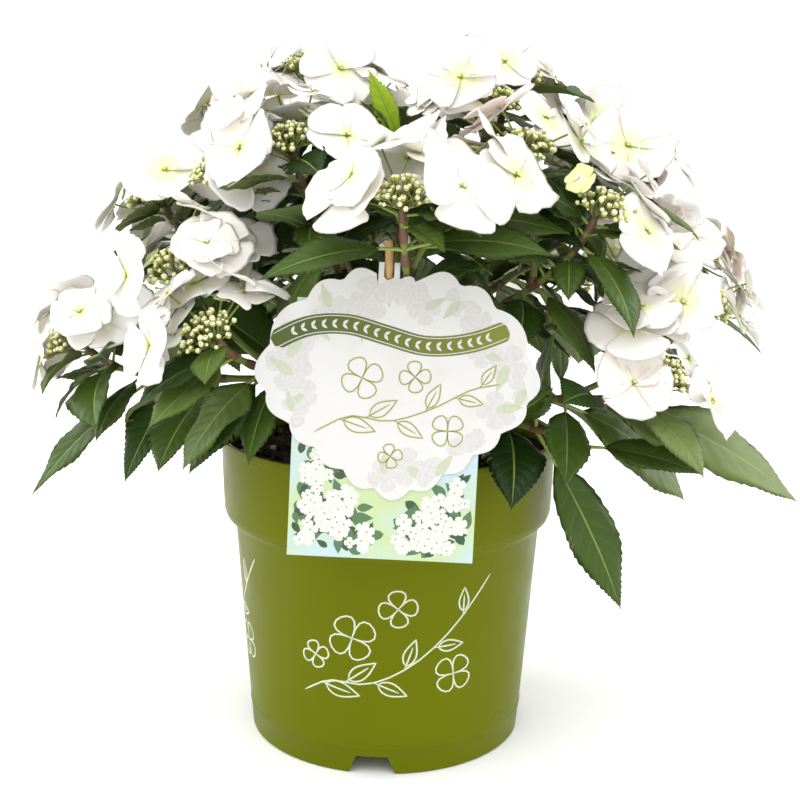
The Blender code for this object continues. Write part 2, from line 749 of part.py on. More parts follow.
def loft(rings, tip=None):
    """A closed bmesh through three-cornered rings, ending in a cap or in a tip."""
    bm = bmesh.new()
    rows = [[bm.verts.new(point) for point in ring] for ring in rings]
    bm.faces.new(rows[0])
    for low, high in zip(rows, rows[1:]):
        for i in range(3):
            j = (i + 1) % 3
            bm.faces.new((low[i], low[j], high[j], high[i]))
    if tip is None:
        bm.faces.new(rows[-1])
    else:
        end = bm.verts.new(tip)
        for i in range(3):
            bm.faces.new((rows[-1][i], rows[-1][(i + 1) % 3], end))
    bmesh.ops.triangulate(bm, faces=[face for face in bm.faces if len(face.verts) > 3])
    return bm


def twig_solid(twig):
    """A three-sided tapering twig along its curve."""
    chord = twig.curve[3] - twig.curve[0]
    level = chord.cross(UP)
    reference = level.normalized() if level.length > 0.1 * chord.length else Vector((1, 0, 0))
    rings = []
    for i in range(twig.runs + 1):
        share = i / twig.runs
        t = blend((twig.first, 1), share)
        way = bezier_way(twig.curve, t)
        side = square_to(reference, way)
        other = way.cross(side)
        radius = blend(twig.radii, share)
        turns = [2 * math.pi * corner / 3 + 0.3 for corner in range(3)]
        rings.append(
            [
                bezier(twig.curve, t) + (side * math.cos(a) + other * math.sin(a)) * radius
                for a in turns
            ]
        )
    return loft(rings)


def leaf_solid(leaf):
    """A leaf as a thin three-sided loft: stalk, blade and tip, flat above and keeled below."""
    across = leaf.way.cross(leaf.normal)
    blade = 1 - leaf.stalk
    sections = (
        (0.0, STALK_RADIUS, STALK_RADIUS),
        (leaf.stalk, STALK_RADIUS, STALK_RADIUS),
        (leaf.stalk + WIDEST * blade, leaf.half_width, LEAF_KEEL),
    )
    rings = []
    for share, wide, deep in sections:
        point, _, normal = leaf_at(leaf, share)
        top = point + normal * (deep / 2)
        rings.append([top + across * wide, top - across * wide, point - normal * (deep / 2)])
    return loft(rings, leaf_at(leaf, 1)[0])


def floret_solid(floret):
    """A floret as a thin lobed lens with its stalk, which runs down to the head's stem."""
    other = floret.normal.cross(floret.along)
    bm = bmesh.new()
    ring = []
    for i in range(8):
        turn = math.pi * i / 4
        petal = i % 2 == 0
        radius = floret.radius * (1 if petal else FLORET_NOTCH)
        side = floret.along * math.cos(turn) + other * math.sin(turn)
        lift = -FLORET_DISH * floret.radius if petal else 0.0
        ring.append(bm.verts.new(floret.centre + side * radius + floret.normal * lift))
    end = floret.centre - floret.normal * FLORET_BELLY[0]
    level = ((end - floret.root).normalized() + floret.normal).normalized()
    side = square_to(floret.along, level)
    corners = [
        (side * math.cos(a) + level.cross(side) * math.sin(a)) * FLORET_STALK
        for a in (math.radians(120 * corner) for corner in range(3))
    ]
    upper = [bm.verts.new(end + corner) for corner in corners]
    lower = [bm.verts.new(floret.root + corner) for corner in corners]
    top = bm.verts.new(floret.centre + floret.normal * FLORET_BELLY[1])
    for i in range(8):
        j = (i + 1) % 8
        near, after = round(i * 3 / 8) % 3, round((i + 1) * 3 / 8) % 3
        bm.faces.new((ring[i], ring[j], top))
        bm.faces.new((ring[j], ring[i], upper[near]))
        if near != after:
            bm.faces.new((ring[j], upper[near], upper[after]))
    for i in range(3):
        j = (i + 1) % 3
        bm.faces.new((upper[i], upper[j], lower[j], lower[i]))
    bm.faces.new(lower)
    bmesh.ops.triangulate(bm, faces=[face for face in bm.faces if len(face.verts) > 3])
    return bm


def dome_solid(head):
    """The dome of small buds in the middle of a head."""
    first, second = head_frame(head)
    turn = Matrix((first, second, head.axis)).transposed().to_4x4()
    size = Matrix.Diagonal((DOME_RADIUS, DOME_RADIUS, DOME_RISE, 1))
    bm = bmesh.new()
    bmesh.ops.create_icosphere(
        bm, subdivisions=1, radius=1.0, matrix=Matrix.Translation(head.place) @ turn @ size
    )
    return bm


def keep_largest(bm):
    """Deletes all but the largest body of a mesh: loose scraps and sealed hollows."""
    left = set(bm.faces)
    bodies = []
    while left:
        body = {left.pop()}
        edge = list(body)
        while edge:
            near = {face for side in edge.pop().edges for face in side.link_faces}
            edge += near & left
            body |= near & left
            left -= near
        bodies.append(body)
    for body in sorted(bodies, key=len)[:-1]:
        bmesh.ops.delete(bm, geom=list(body), context="FACES")


def tidied(made):
    """Keeps a mesh's largest body, without needless flat faces."""
    for angle in FLAT_ANGLES:
        bm = bmesh.new()
        bm.from_mesh(made.data)
        keep_largest(bm)
        bmesh.ops.dissolve_limit(
            bm, angle_limit=math.radians(angle), verts=bm.verts, edges=bm.edges
        )
        bmesh.ops.triangulate(bm, faces=bm.faces)
        keep_largest(bm)
        if all(edge.is_manifold for edge in bm.edges):
            bm.to_mesh(made.data)
            bm.free()
            break
        bm.free()
    return made


def joined(name, shapes, home, look):
    """One closed mesh from overlapping closed shapes."""
    parts = collection(name + "_parts")
    pieces = [mesh_object(f"{name}_piece", bm, parts) for bm in shapes]
    base = pieces[0]
    parts.objects.unlink(base)
    home.objects.link(base)
    boolean = base.modifiers.new("join", "BOOLEAN")
    boolean.operation = "UNION"
    boolean.operand_type = "COLLECTION"
    boolean.collection = parts
    boolean.solver = "MANIFOLD"
    bpy.context.view_layer.update()
    made = frozen(base, name, home, look)
    for piece in pieces[1:]:
        bpy.data.objects.remove(piece)
    bpy.data.collections.remove(parts)
    return tidied(made)


# ---------------------------------------------------------------- the pieces


def make_pot(home, look):
    """The container: turned shell, four channels across its underside and four drains."""
    undercut = [(COLLAR_RADIUS - inwards, COLLAR_BOTTOM - down) for inwards, down in COLLAR_UNDERCUT]
    profile = [
        *inner_profile(0),
        (RIM_RADIUS - LIP_ROUND, POT_HEIGHT),
        (RIM_RADIUS, POT_HEIGHT - LIP_ROUND),
        (RIM_RADIUS, POT_HEIGHT - LIP_DEPTH),
        (RIM_RADIUS - LIP_STEP, POT_HEIGHT - LIP_DEPTH - LIP_STEP),
        (COLLAR_RADIUS, COLLAR_BOTTOM),
        *undercut,
        (SHOULDER_RADIUS, SHOULDER_HEIGHT),
        (FOOT_RADIUS, FOOT_EDGE),
        (FOOT_RADIUS - FOOT_EDGE, 0),
        (0, 0),
    ]
    shell = turned("pot_shell", profile, home, look)
    cutters = []
    for quarter in range(4):
        turn = Matrix.Rotation(math.radians(CHANNEL_TURN + 90 * quarter), 4, "Z")
        cutters.append(channel_cutter(turn, home))
        foot = turn @ Vector((DRAIN_REACH, 0, CHANNEL_HEIGHT - WALL))
        top = turn @ Vector((DRAIN_REACH, 0, FLOOR + WALL))
        cutters.append(rod("drain_cutter", foot, top, DRAIN_RADIUS, 12, home))
    cut(shell, cutters, "pot", home, look)


def channel_cutter(turn, home):
    """The tapering bar that cuts one drainage channel."""
    bm = bmesh.new()
    bmesh.ops.create_cube(bm, size=1.0)
    for vert in bm.verts:
        high = vert.co.z > 0
        vert.co.x = CHANNEL_START if vert.co.x < 0 else FOOT_RADIUS + CUT_PAST
        vert.co.y *= CHANNEL_TOP if high else CHANNEL_FOOT
        vert.co.z = CHANNEL_HEIGHT if high else -FOOT_EDGE
    bm.transform(turn)
    return mesh_object("channel_cutter", bm, home)


def inner_profile(gap):
    """The pot's inner face as (radius, height), from the middle of the floor to the rim."""
    return (
        (0, FLOOR + gap),
        (FOOT_RADIUS - WALL + INNER_EASE - gap, FLOOR + gap),
        (SHOULDER_RADIUS - WALL - gap, SHOULDER_HEIGHT + INNER_EASE),
        (COLLAR_RADIUS - WALL - gap, COLLAR_BOTTOM - INNER_EASE),
        (RIM_RADIUS - LIP_STEP - WALL - gap, POT_HEIGHT - INNER_EASE),
    )


def make_root_ball(home, look):
    """The root ball: it fills the pot, with a hollow for the label's stick."""
    wall = inner_profile(CLEAR)
    (low, low_height), (high, high_height) = wall[-2:]
    share = (SOIL_TOP - high_height) / (low_height - high_height)
    edge = blend((high, low), share)
    profile = wall[:-1] + ((edge, SOIL_TOP - 1 * MM), (SOIL_CROWN, SOIL_TOP), (0, SOIL_TOP))
    ball = turned("root_ball_whole", profile, home, look)
    way = (STICK_TOP - STICK_FOOT).normalized()
    foot = STICK_FOOT - way * CLEAR
    hole = rod("stick_hole", foot, STICK_TOP, STICK_RADIUS + 2 * CLEAR, 12, home)
    cut(ball, [hole], "root_ball", home, look)


def trunk_point(height):
    """A point on the trunk's middle line at a height over the soil."""
    return Vector((TRUNK_LEAN * height, 0, SOIL_TOP + height))


def trunk_radius(height):
    """The trunk's radius at a height over the soil."""
    for (low, thick), (high, thin) in zip(TRUNK_TAPER, TRUNK_TAPER[1:]):
        if height <= high * MM:
            return blend((thick, thin), (height / MM - low) / (high - low)) * MM
    return TRUNK_TAPER[-1][1] * MM


def trunk_surface():
    """Points over the trunk's surface."""
    return [
        trunk_point(row * 5 * MM) + place(45 * i, trunk_radius(row * 5 * MM) / MM, 0)
        for row in range(15)
        for i in range(8)
    ]


def make_trunk(home, look):
    """The short stem, cut flat just over the soil."""
    heights = [max(height * MM, CLEAR) for height, _ in TRUNK_TAPER]
    points = [trunk_point(height) for height in heights]
    radii = [radius * MM for _, radius in TRUNK_TAPER]
    made = limb("trunk", points, radii, 4, home, look)
    for vert in made.data.vertices:
        vert.co.z = max(vert.co.z, SOIL_TOP + CLEAR)


def board_outline():
    """The board's outline: a scalloped oval, open at its top, then the tab with its notch."""
    outline = []
    steps = BOARD_LOBES * 3
    for i in range(steps + 1):
        share = i / steps
        turn = math.pi / 2 - BOARD_OPEN - 2 * (math.pi - BOARD_OPEN) * share
        lobe = BOARD_LOBES * share + BOARD_STRAY * math.sin(6 * math.pi * share)
        wave = BOARD_WAVE * (abs(math.sin(math.pi * lobe)) * 2 - 1)
        narrow = 1 - BOARD_NARROW * max(0, -math.sin(turn)) ** BOARD_TAPER
        x = BOARD_MIDDLE[0] + (BOARD_HALF[0] + wave) * narrow * math.cos(turn)
        outline.append((x, BOARD_MIDDLE[1] + (BOARD_HALF[1] + wave) * math.sin(turn)))
    notch = STICK_RADIUS + CLEAR
    outline += [(-TAB_HALF, -TAB_CUT), (-TAB_HALF, TAB_TOP), (-notch, TAB_TOP)]
    for i in range(9):
        turn = math.pi * (1 + i / 8)
        outline.append((notch * math.cos(turn), notch * (1 + math.sin(turn))))
    return outline + [(notch, TAB_TOP), (TAB_HALF, TAB_TOP), (TAB_HALF, -TAB_CUT)]


def make_label(home, board_look, card_look, stick_look):
    """The wavy board with its notched tab, the card behind it and the stick."""
    curve = bpy.data.curves.new("label_board", "CURVE")
    curve.dimensions = "2D"
    curve.fill_mode = "BOTH"
    curve.extrude = BOARD_THICK / 2
    spline = curve.splines.new("POLY")
    points = board_outline()
    spline.points.add(len(points) - 1)
    for entry, (x, y) in zip(spline.points, points):
        entry.co = (x, y, 0, 1)
    spline.use_cyclic_u = True
    board = bpy.data.objects.new("label_board_curve", curve)
    home.objects.link(board)
    board.matrix_world = label_place() @ Matrix.Translation((0, 0, -BOARD_THICK / 2))
    bpy.context.view_layer.update()
    frozen(board, "label_board", home, board_look)

    behind = -BOARD_THICK - CLEAR - CARD_THICK / 2
    bm = bmesh.new()
    bmesh.ops.create_cube(bm, size=1.0)
    bm.transform(Matrix.Diagonal((2 * CARD_HALF[0], 2 * CARD_HALF[1], CARD_THICK, 1)))
    bm.transform(label_place() @ Matrix.Translation((*CARD_MIDDLE, behind)))
    mesh_object("label_card", bm, home, card_look)

    rod("label_stick", STICK_FOOT, STICK_TOP, STICK_RADIUS, 10, home, stick_look)


def label_place():
    """The label's frame: X across it, Y up along it and Z out of its printed face."""
    lean = Matrix.Rotation(math.pi / 2 - LABEL_LEAN, 4, "X")
    return Matrix.Translation(LABEL_TOP) @ lean @ Matrix.Rotation(LABEL_ROLL, 4, "Z")


def make_bough(name, curve, home, look):
    """The bough of a cane: its part next to the trunk."""
    shares = [BOUGH_SHARE * i / BOUGH_RUNS for i in range(BOUGH_RUNS + 1)]
    points = [bezier(curve, share) for share in shares]
    radii = [blend(BOUGH_RADII, share / BOUGH_SHARE) for share in shares]
    limb("bough_" + name, points, radii, 1, home, look)


def make_mass(name, growth, home, look):
    """A cane's mass of foliage: its stem, side twigs, leaves and flower heads in one body."""
    shapes = [twig_solid(twig) for twig in [growth.stem] + growth.sides]
    shapes += [leaf_solid(leaf) for leaf in growth.leaves]
    shapes += [dome_solid(head) for head in growth.heads]
    shapes += [floret_solid(floret) for floret in growth.florets]
    return joined("foliage_" + name, shapes, home, look)


def main():
    """Builds the part."""
    for old in list(bpy.data.objects):
        bpy.data.objects.remove(old)
    home = collection("potted_hydrangea")
    make_pot(home, material("pot_plastic", (0.20, 0.27, 0.01), 0.35))
    make_root_ball(home, material("potting_soil", (0.02, 0.014, 0.01), 0.95))
    bark = material("bark", (0.16, 0.12, 0.05), 0.8)
    make_trunk(home, bark)
    make_label(
        home,
        material("board_print", (0.80, 0.80, 0.76), 0.45),
        material("card_print", (0.45, 0.62, 0.50), 0.35),
        material("cane", (0.55, 0.32, 0.10), 0.6),
    )
    foliage = material("foliage", (0.07, 0.16, 0.02), 0.6)
    for name, growth in grow_plant().items():
        if name != LEADER:
            make_bough(name, growth.stem.curve, home, bark)
        make_mass(name, growth, home, foliage)


main()
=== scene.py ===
"""Potted hydrangea shrub, dressed: container, soil, wood, stems, leaves, blossom and label.

Metres, +Z up.  The origin is the centre of the pot's flat underside, and the label faces -Y.
The plant grows here by the same rule as its solids do, and is then carried to finer leaves,
petals and buds within the same reach.
"""

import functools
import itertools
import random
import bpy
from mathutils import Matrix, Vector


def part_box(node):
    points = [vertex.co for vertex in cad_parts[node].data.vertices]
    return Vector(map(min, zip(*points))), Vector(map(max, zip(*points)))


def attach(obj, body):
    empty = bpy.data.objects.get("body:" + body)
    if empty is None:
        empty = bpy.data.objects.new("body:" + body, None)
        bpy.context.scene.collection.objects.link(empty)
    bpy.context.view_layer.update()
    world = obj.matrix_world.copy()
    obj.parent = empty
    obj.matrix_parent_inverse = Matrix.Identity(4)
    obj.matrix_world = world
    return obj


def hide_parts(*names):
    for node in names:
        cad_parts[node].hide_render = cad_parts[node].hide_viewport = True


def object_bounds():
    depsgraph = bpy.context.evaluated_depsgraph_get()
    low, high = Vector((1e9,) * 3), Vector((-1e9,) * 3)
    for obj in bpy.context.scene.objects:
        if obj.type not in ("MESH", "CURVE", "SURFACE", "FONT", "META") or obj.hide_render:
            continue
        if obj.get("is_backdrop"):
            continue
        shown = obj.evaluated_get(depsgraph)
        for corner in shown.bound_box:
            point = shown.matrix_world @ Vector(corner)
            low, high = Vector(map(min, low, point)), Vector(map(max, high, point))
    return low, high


bl_info = {
    "name": "Potted hydrangea shrub",
    "version": (1, 0, 0),
    "blender": (4, 5, 0),
    "location": "View3D > Sidebar > Shrub",
    "description": "Builds a flowering hydrangea shrub in its pot round a packed frame",
    "category": "Object",
}

from collections import namedtuple
from math import atan2, ceil, cos, floor, hypot, pi, radians, sin, sqrt, tan

import bpy
import numpy as np
from bpy.props import FloatProperty, FloatVectorProperty, IntProperty, PointerProperty
from mathutils import Matrix, Vector

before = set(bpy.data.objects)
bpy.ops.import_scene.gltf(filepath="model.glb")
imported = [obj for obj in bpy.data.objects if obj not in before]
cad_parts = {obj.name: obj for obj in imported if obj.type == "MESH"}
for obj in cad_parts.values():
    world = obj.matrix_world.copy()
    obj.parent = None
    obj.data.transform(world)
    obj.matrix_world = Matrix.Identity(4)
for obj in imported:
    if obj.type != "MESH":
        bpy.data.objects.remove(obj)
CAD_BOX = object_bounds()

MM = 0.001
CLEAR = 0.3 * MM
UP = Vector((0, 0, 1))
TURN = 6.3  # radians, about a whole turn, for a phase drawn at random
SHARP = radians(35)  # an edge over this stays sharp

# Container: five litres, with a deep collar round its top
POT_HEIGHT = 200 * MM
RIM_RADIUS = 110 * MM
LIP_DEPTH = 4 * MM
LIP_ROUND = 0.8 * MM
LIP_STEP = 0.9 * MM  # the lip's reach over the collar
COLLAR_RADIUS = 107.6 * MM  # at the collar's lower edge
COLLAR_BOTTOM = 151 * MM
COLLAR_UNDERCUT = ((1.2 * MM, 3.4 * MM), (4.2 * MM, 4.8 * MM))  # inwards and down from there
SHOULDER_RADIUS = 100.3 * MM  # where the wall starts under the collar
SHOULDER_HEIGHT = 141 * MM
FOOT_RADIUS = 90 * MM
FOOT_EDGE = 1 * MM
WALL_SLOPE = (SHOULDER_RADIUS - FOOT_RADIUS) / (SHOULDER_HEIGHT - FOOT_EDGE)
WALL = 2 * MM
FLOOR = 14 * MM
INNER_EASE = 1 * MM  # how far the inner face's corners lie off the outer ones

# Four drainage channels across the underside, each with one hole up into the pot
CHANNEL_FOOT = 30 * MM
CHANNEL_TOP = 20 * MM
CHANNEL_HEIGHT = 12 * MM
CHANNEL_START = 25 * MM
CHANNEL_TURN = -94.6  # degrees, the front channel
DRAIN_RADIUS = 5 * MM
DRAIN_REACH = 62 * MM
CUT_PAST = 20 * MM  # how far a cutter runs past what it cuts

# Root ball: it fills the pot up to below the rim
SOIL_TOP = 186 * MM

# Short stem: foot, flare, taper and lean, as (height over the soil, radius)
TRUNK_TAPER = ((0, 14), (4, 11), (14, 9), (44, 8), (72, 7))  # mm
TRUNK_LEAN = 0.04  # metres sideways for each metre up
TRUNK_FLAT = 0.955  # a flat's distance from the middle, as a share of the radius

# Plant label: a wavy board and a card behind it, on a cane stick
LABEL_TOP = Vector((0, -109.1, 312.5)) * MM  # the foot of the notch in the board's tab
LABEL_LEAN = radians(6.8)  # its lower edge hangs forward, over the rim
LABEL_ROLL = radians(-2.0)
BOARD_HALF = (79 * MM, 65 * MM)
BOARD_MIDDLE = (7.5 * MM, -58 * MM)  # across and up from LABEL_TOP
BOARD_THICK = 0.8 * MM
BOARD_LOBES = 17
BOARD_OPEN = radians(11)  # half of the stretch at its top that the tab takes
BOARD_NARROW = 0.50  # how much its lower edge draws in
BOARD_TAPER = 1.45  # how late it does so
BOARD_STRAY = 0.35  # how unequal its lobes are
BOARD_WAVE = 2.4 * MM
TAB_HALF = 6 * MM
TAB_TOP = 10 * MM
TAB_CUT = 5 * MM  # depth of the cuts on both sides of the tab, under the notch's foot
CARD_HALF = (53.5 * MM, 74 * MM)
CARD_MIDDLE = (2.3 * MM, -86 * MM)
CARD_THICK = 0.5 * MM
STICK_RADIUS = 2.55 * MM
STICK_TOP = Vector((0, -107.8, 335)) * MM
STICK_FOOT = Vector((0, -88.0, 130)) * MM

# Canes.  A place is (azimuth in degrees, reach from the axis, height), both in mm, and the
# azimuth is counted from +X towards +Y.  The start is the side of the trunk a cane leaves from.
Cane = namedtuple("Cane", "name start tip side_heads blooms", defaults=((), True))
CANES = (
    Cane("left_low", 190, (186, 200, 263)),
    Cane("left_front", 228, (230, 156, 286), ((213, 147, 318),)),
    Cane("left_high", 178, (180, 148, 352), ((157, 158, 336),)),
    Cane("top_left", 150, (135, 72, 432), ((162, 104, 404),)),
    Cane("front_left", 236, (232, 94, 390), ((205, 112, 370),)),
    Cane("front", 294, (273, 141, 364), ((290, 106, 376),)),
    Cane("top_right", 25, (24, 82, 428), ((344, 62, 412),)),
    Cane("right_high", 2, (2, 150, 384), ((28, 142, 372),)),
    Cane("front_right", 334, (322, 152, 356), ((318, 104, 388),)),
    Cane("right", 10, (9, 200, 316), ((30, 192, 300),)),
    Cane("right_low", 333, (328, 186, 262), ((343, 196, 298),)),
    Cane("right_skirt", 304, (327, 148, 208), (), False),
    Cane("young_tip", 350, (350, 8, 394), (), False),
    Cane("back_right", 52, (56, 176, 340), ((48, 194, 286),)),
    Cane("back", 70, (92, 152, 376), ((101, 190, 306),)),
    Cane("back_left", 130, (131, 172, 340), ((141, 194, 284),)),
    Cane("back_high", 106, (104, 92, 406), ((66, 106, 396),)),
)
LEADER = "young_tip"  # the cane that stands on the trunk's end and has no bough
START_HEIGHTS = (200 * MM, 252 * MM)  # where the lowest and the highest canes leave the trunk
TIP_HEIGHTS = (200 * MM, 430 * MM)
START_RISE = (30, 62)  # degrees over level, for the same two
REACH_OUT = 0.36  # share of its length that a cane keeps its first heading for
REACH_IN = 0.32  # and its last one
BOUGH_SHARE = 0.40  # the bough's part of a cane
BOUGH_RADII = (3.3 * MM, 2.4 * MM)
BOUGH_FLAT = 0.90
LEAFY_WAY = (0.96, -0.28)  # outwards and up, the last heading of a low cane with no flowers
STEM_RADII = (2.4 * MM, 2.0 * MM)
TWIG_RADII = (2.2 * MM, 1.9 * MM)
STEM_RUNS = 6  # straight runs of a mass's stem
TWIG_RUNS = 3
SIDE_FORK = 0.60  # where on its cane a side twig forks off
SIDE_REACH = 0.35  # as REACH_OUT and REACH_IN, for a side twig

# Flower heads: a dome of small buds in a ring of showy florets
HEAD_LEAN = (6, 40)  # degrees from upright, for the highest and the lowest heads
HEAD_HEIGHTS = (440 * MM, 260 * MM)
DOME_RADIUS = 12 * MM
DOME_RISE = 7 * MM
DOME_SUNK = 0.6  # how far under the dome's middle its stem ends, as a share of its rise
FLORETS = (5, 5)
FLORET_RADII = (22.5 * MM, 28.5 * MM)
FLORET_RING = (29 * MM, 37 * MM)
FLORET_RISE = (-6 * MM, 12 * MM)  # over the dome's middle
FLORET_TILT = (26, 66)  # degrees outwards
FLORET_LIFT = 0.14  # how much a floret turns up to the sky
FLORET_FRONT = 0.36  # and to the label's side
FLORET_STRAY = 0.25  # radians off its even place in the ring
RING_GAP = 75  # degrees of a ring that stay open, where the dome shows
RING_TURN = 20  # degrees that the open stretch strays
RING_FRONT = 1.4  # how much it turns from outwards to the label's side
RING_BACK = 90 * MM  # heads behind this open, and their florets face, outwards only
STALK_STEP = 2.4 * MM  # down the stem from one floret's stalk to the next

# Leaves
NODES = (0.50, 0.62, 0.74, 0.86, 0.94)  # shares of a cane where a leaf pair stands
SIDE_NODE = 0.62  # and of a side twig
SIDE_INDEX = 3  # the number of the cane's pair that a side twig's pair is like
LEAF_LENGTHS = (108 * MM, 62 * MM)  # with its stalk, at the first and the last node
LEAF_STALK = 0.17
LEAF_HALF_WIDTH = 0.235  # of the whole length
LEAF_SPREAD = (52, 72)  # degrees between a leaf and its stem
LEAF_BEND = (28, 62)  # degrees that a leaf droops over its length
LEAF_TURN = 14  # degrees off its even place round the stem
LEAF_ROLL = 18
LEAF_SIZES = (0.88, 1.08)
LEAF_FIRST_TURN = 25
GROWN_FACE = (0.8, 0.35)  # upwards and outwards, the way that a leaf faces
PLACED_FACE = (0.75, 0.55)
STEEPEST_FALL = -0.35  # a leaf that would leave its stem more steeply down is lifted
FALL_LIFT = 0.3
WIDEST = 0.40  # share of the blade
LOWEST_TIP = 185 * MM  # of a leaf with no place of its own

# Leaves with a place of their own, cane by cane: share of the cane, tip, bend, roll, width.
# The bend and the roll are in degrees, and the width is a share of the leaf's length.  On the
# leader, a young shoot, they are small and stand up round the tip.
PLACED_LEAVES = {
    "front": (
        (0.80, (306, 155, 329), 45, 0, 0.21),
        (0.80, (244, 159, 315), 40, 0, 0.17),
    ),
    "front_left": (
        (0.66, (239, 142, 350), 20, 10, 0.22),
        (0.62, (222, 112, 352), 30, 0, 0.18),
    ),
    "left_front": (
        (0.84, (227, 194, 232), 25, -15, 0.24),
        (0.66, (225, 166, 202), 35, 0, 0.30),
        (0.58, (235, 139, 205), 40, 0, 0.20),
    ),
    "left_low": (
        (0.86, (202, 190, 214), 60, 0, 0.34),
        (0.70, (187, 231, 160), 30, -35, 0.12),
        (0.62, (197, 172, 176), 30, -30, 0.20),
        (0.86, (208, 196, 268), 25, 0, 0.15),
        (0.80, (176, 226, 226), 30, 0, 0.18),
    ),
    "right_skirt": (
        (0.74, (315, 136, 282), 20, 180, 0.23),
        (0.56, (316, 138, 257), 25, 180, 0.20),
        (0.60, (301, 140, 182), 55, 0, 0.24),
        (0.98, (332, 210, 199), 30, 15, 0.20),
        (0.74, (342, 158, 96), 35, 60, 0.12),
    ),
    "right_low": (
        (0.64, (346, 224, 190), 35, 0, 0.22),
        (0.80, (347, 262, 171), 35, 35, 0.16),
        (0.56, (358, 196, 156), 50, 35, 0.17),
    ),
    "right": (
        (0.80, (8, 254, 248), 45, 0, 0.24),
    ),
    "front_right": (
        (0.74, (325, 176, 318), 35, 0, 0.20),
    ),
    LEADER: (
        (0.93, (218, 19, 430), 12, 42, 0.14),
        (0.93, (322, 13, 431), 12, -42, 0.14),
        (0.89, (344, 24, 418), 20, -60, 0.25),
        (0.89, (200, 22, 412), 20, 60, 0.25),
        (0.84, (218, 30, 397), 40, 0, 0.24),
        (0.84, (336, 36, 391), 40, 0, 0.22),
    ),
}

# Keeping apart: leaves and florets are tried as clouds of points at this spacing
SPACING = 5.5 * MM
GAP_OTHER = 4.4 * MM  # between the clouds of two masses
GAP_OWN = 2.6 * MM
GAP_POT = 3 * MM
CUBE = 9 * MM
TRIES = 9
SHRINK = 0.05  # of a leaf's length at each further try
SEARCH_TURN = 4  # degrees round the stem at each further try
SEARCH_SHIFT = 1.5 * MM  # of a placed leaf's tip
FREE_STALK = 0.05  # share of a blade next to its stalk that may lie on its own stem
DOME_THICK = 2 * MM
STICK_POINTS = 68  # steps along the cane of the label
NEAR = tuple(itertools.product((-1, 0, 1), repeat=3))  # a cube and the cubes round it

# Seeds of the random draws
PLACED_SEED = 7000
FINE_SEED = 9000
SEEDS = {"soil": 31, "crumbs": 41, "perlite": 42, "mist": 53, "card": 57}
SEEDS.update(wood=61, leaves=71, petals=81, buds=91)

Twig = namedtuple("Twig", "curve first runs radii")
Leaf = namedtuple("Leaf", "root way normal bend length half_width stalk")
Floret = namedtuple("Floret", "root centre normal along radius")
Head = namedtuple("Head", "place axis")
Growth = namedtuple("Growth", "stem sides heads florets young leaves")


# Places and curves


def dice_for(part):
    """The random draws of one part."""
    return random.Random(SEEDS[part])


def place(azimuth, reach, height):
    """The point at a named azimuth in degrees, reach and height in mm."""
    turn = radians(azimuth)
    return Vector((reach * cos(turn), reach * sin(turn), height)) * MM


def blend(pair, share):
    """The value at a share, from 0 to 1, of the way between two."""
    share = min(max(share, 0), 1)
    return pair[0] + (pair[1] - pair[0]) * share


def outward(point):
    """Level direction from the pot's axis to a point."""
    return Vector((point.x, point.y, 0)).normalized()


def square_to(vector, way):
    """The part of a vector that stands square on a direction, at length one."""
    return (vector - way * vector.dot(way)).normalized()


def around(first, second, turn):
    """The way at a turn from a first direction towards a second."""
    return first * cos(turn) + second * sin(turn)


def bezier(ends, t):
    """Point on a cubic curve."""
    a, b, c, d = ends
    s = 1 - t
    return a * s**3 + b * (3 * s * s * t) + c * (3 * s * t * t) + d * t**3


def bezier_slope(ends, t):
    """Change of a cubic curve's point for each whole step of t."""
    a, b, c, d = ends
    s = 1 - t
    return ((b - a) * (s * s) + (c - b) * (2 * s * t) + (d - c) * (t * t)) * 3


def head_at(tip):
    """A flower head: its place, and its axis, which leans out further lower down."""
    point = place(*tip)
    low = (point.z - HEAD_HEIGHTS[0]) / (HEAD_HEIGHTS[1] - HEAD_HEIGHTS[0])
    lean = radians(blend(HEAD_LEAN, low))
    return Head(point, UP * cos(lean) + outward(point) * sin(lean))


def cane_curve(cane):
    """The four points of a cane's curve, from the trunk's side to its tip."""
    head = head_at(cane.tip)
    share = (head.place.z - TIP_HEIGHTS[0]) / (TIP_HEIGHTS[1] - TIP_HEIGHTS[0])
    level = blend(START_HEIGHTS, share)
    rise = radians(blend(START_RISE, share))
    side = place(cane.start, 1 / MM, 0)
    if cane.name == LEADER:
        start = trunk_point(TRUNK_TAPER[-1][0] * MM) + UP * CLEAR
        first = last = UP
    else:
        depth = TRUNK_FLAT * trunk_radius(level - SOIL_TOP) + CLEAR
        depth += BOUGH_FLAT * BOUGH_RADII[0] * sin(rise)
        start = trunk_point(level - SOIL_TOP) + side * depth
        first = side * cos(rise) + UP * sin(rise)
        last = head.axis
    if not cane.blooms and cane.name != LEADER:
        last = outward(head.place) * LEAFY_WAY[0] + UP * LEAFY_WAY[1]
    end = head.place - last * DOME_RISE * DOME_SUNK
    size = (end - start).length
    return (start, start + first * (REACH_OUT * size), end - last * (REACH_IN * size), end)


def stem_of(cane):
    """The stem of a cane's mass, which starts just clear of its bough's tip."""
    curve = cane_curve(cane)
    first = 0.0
    if cane.name != LEADER:
        first = BOUGH_SHARE + CLEAR / bezier_slope(curve, BOUGH_SHARE).length
    return Twig(curve, first, STEM_RUNS, STEM_RADII)


def side_of(stem, tip):
    """A side twig that forks off a stem and carries a flower head."""
    head = head_at(tip)
    start = twig_point(stem, SIDE_FORK)
    end = head.place - head.axis * DOME_RISE * DOME_SUNK
    reach = SIDE_REACH * (end - start).length
    way = bezier_slope(stem.curve, SIDE_FORK).normalized() + (end - start).normalized()
    way.normalize()
    curve = (start, start + way * reach, end - head.axis * reach, end)
    return Twig(curve, 0, TWIG_RUNS, TWIG_RADII)


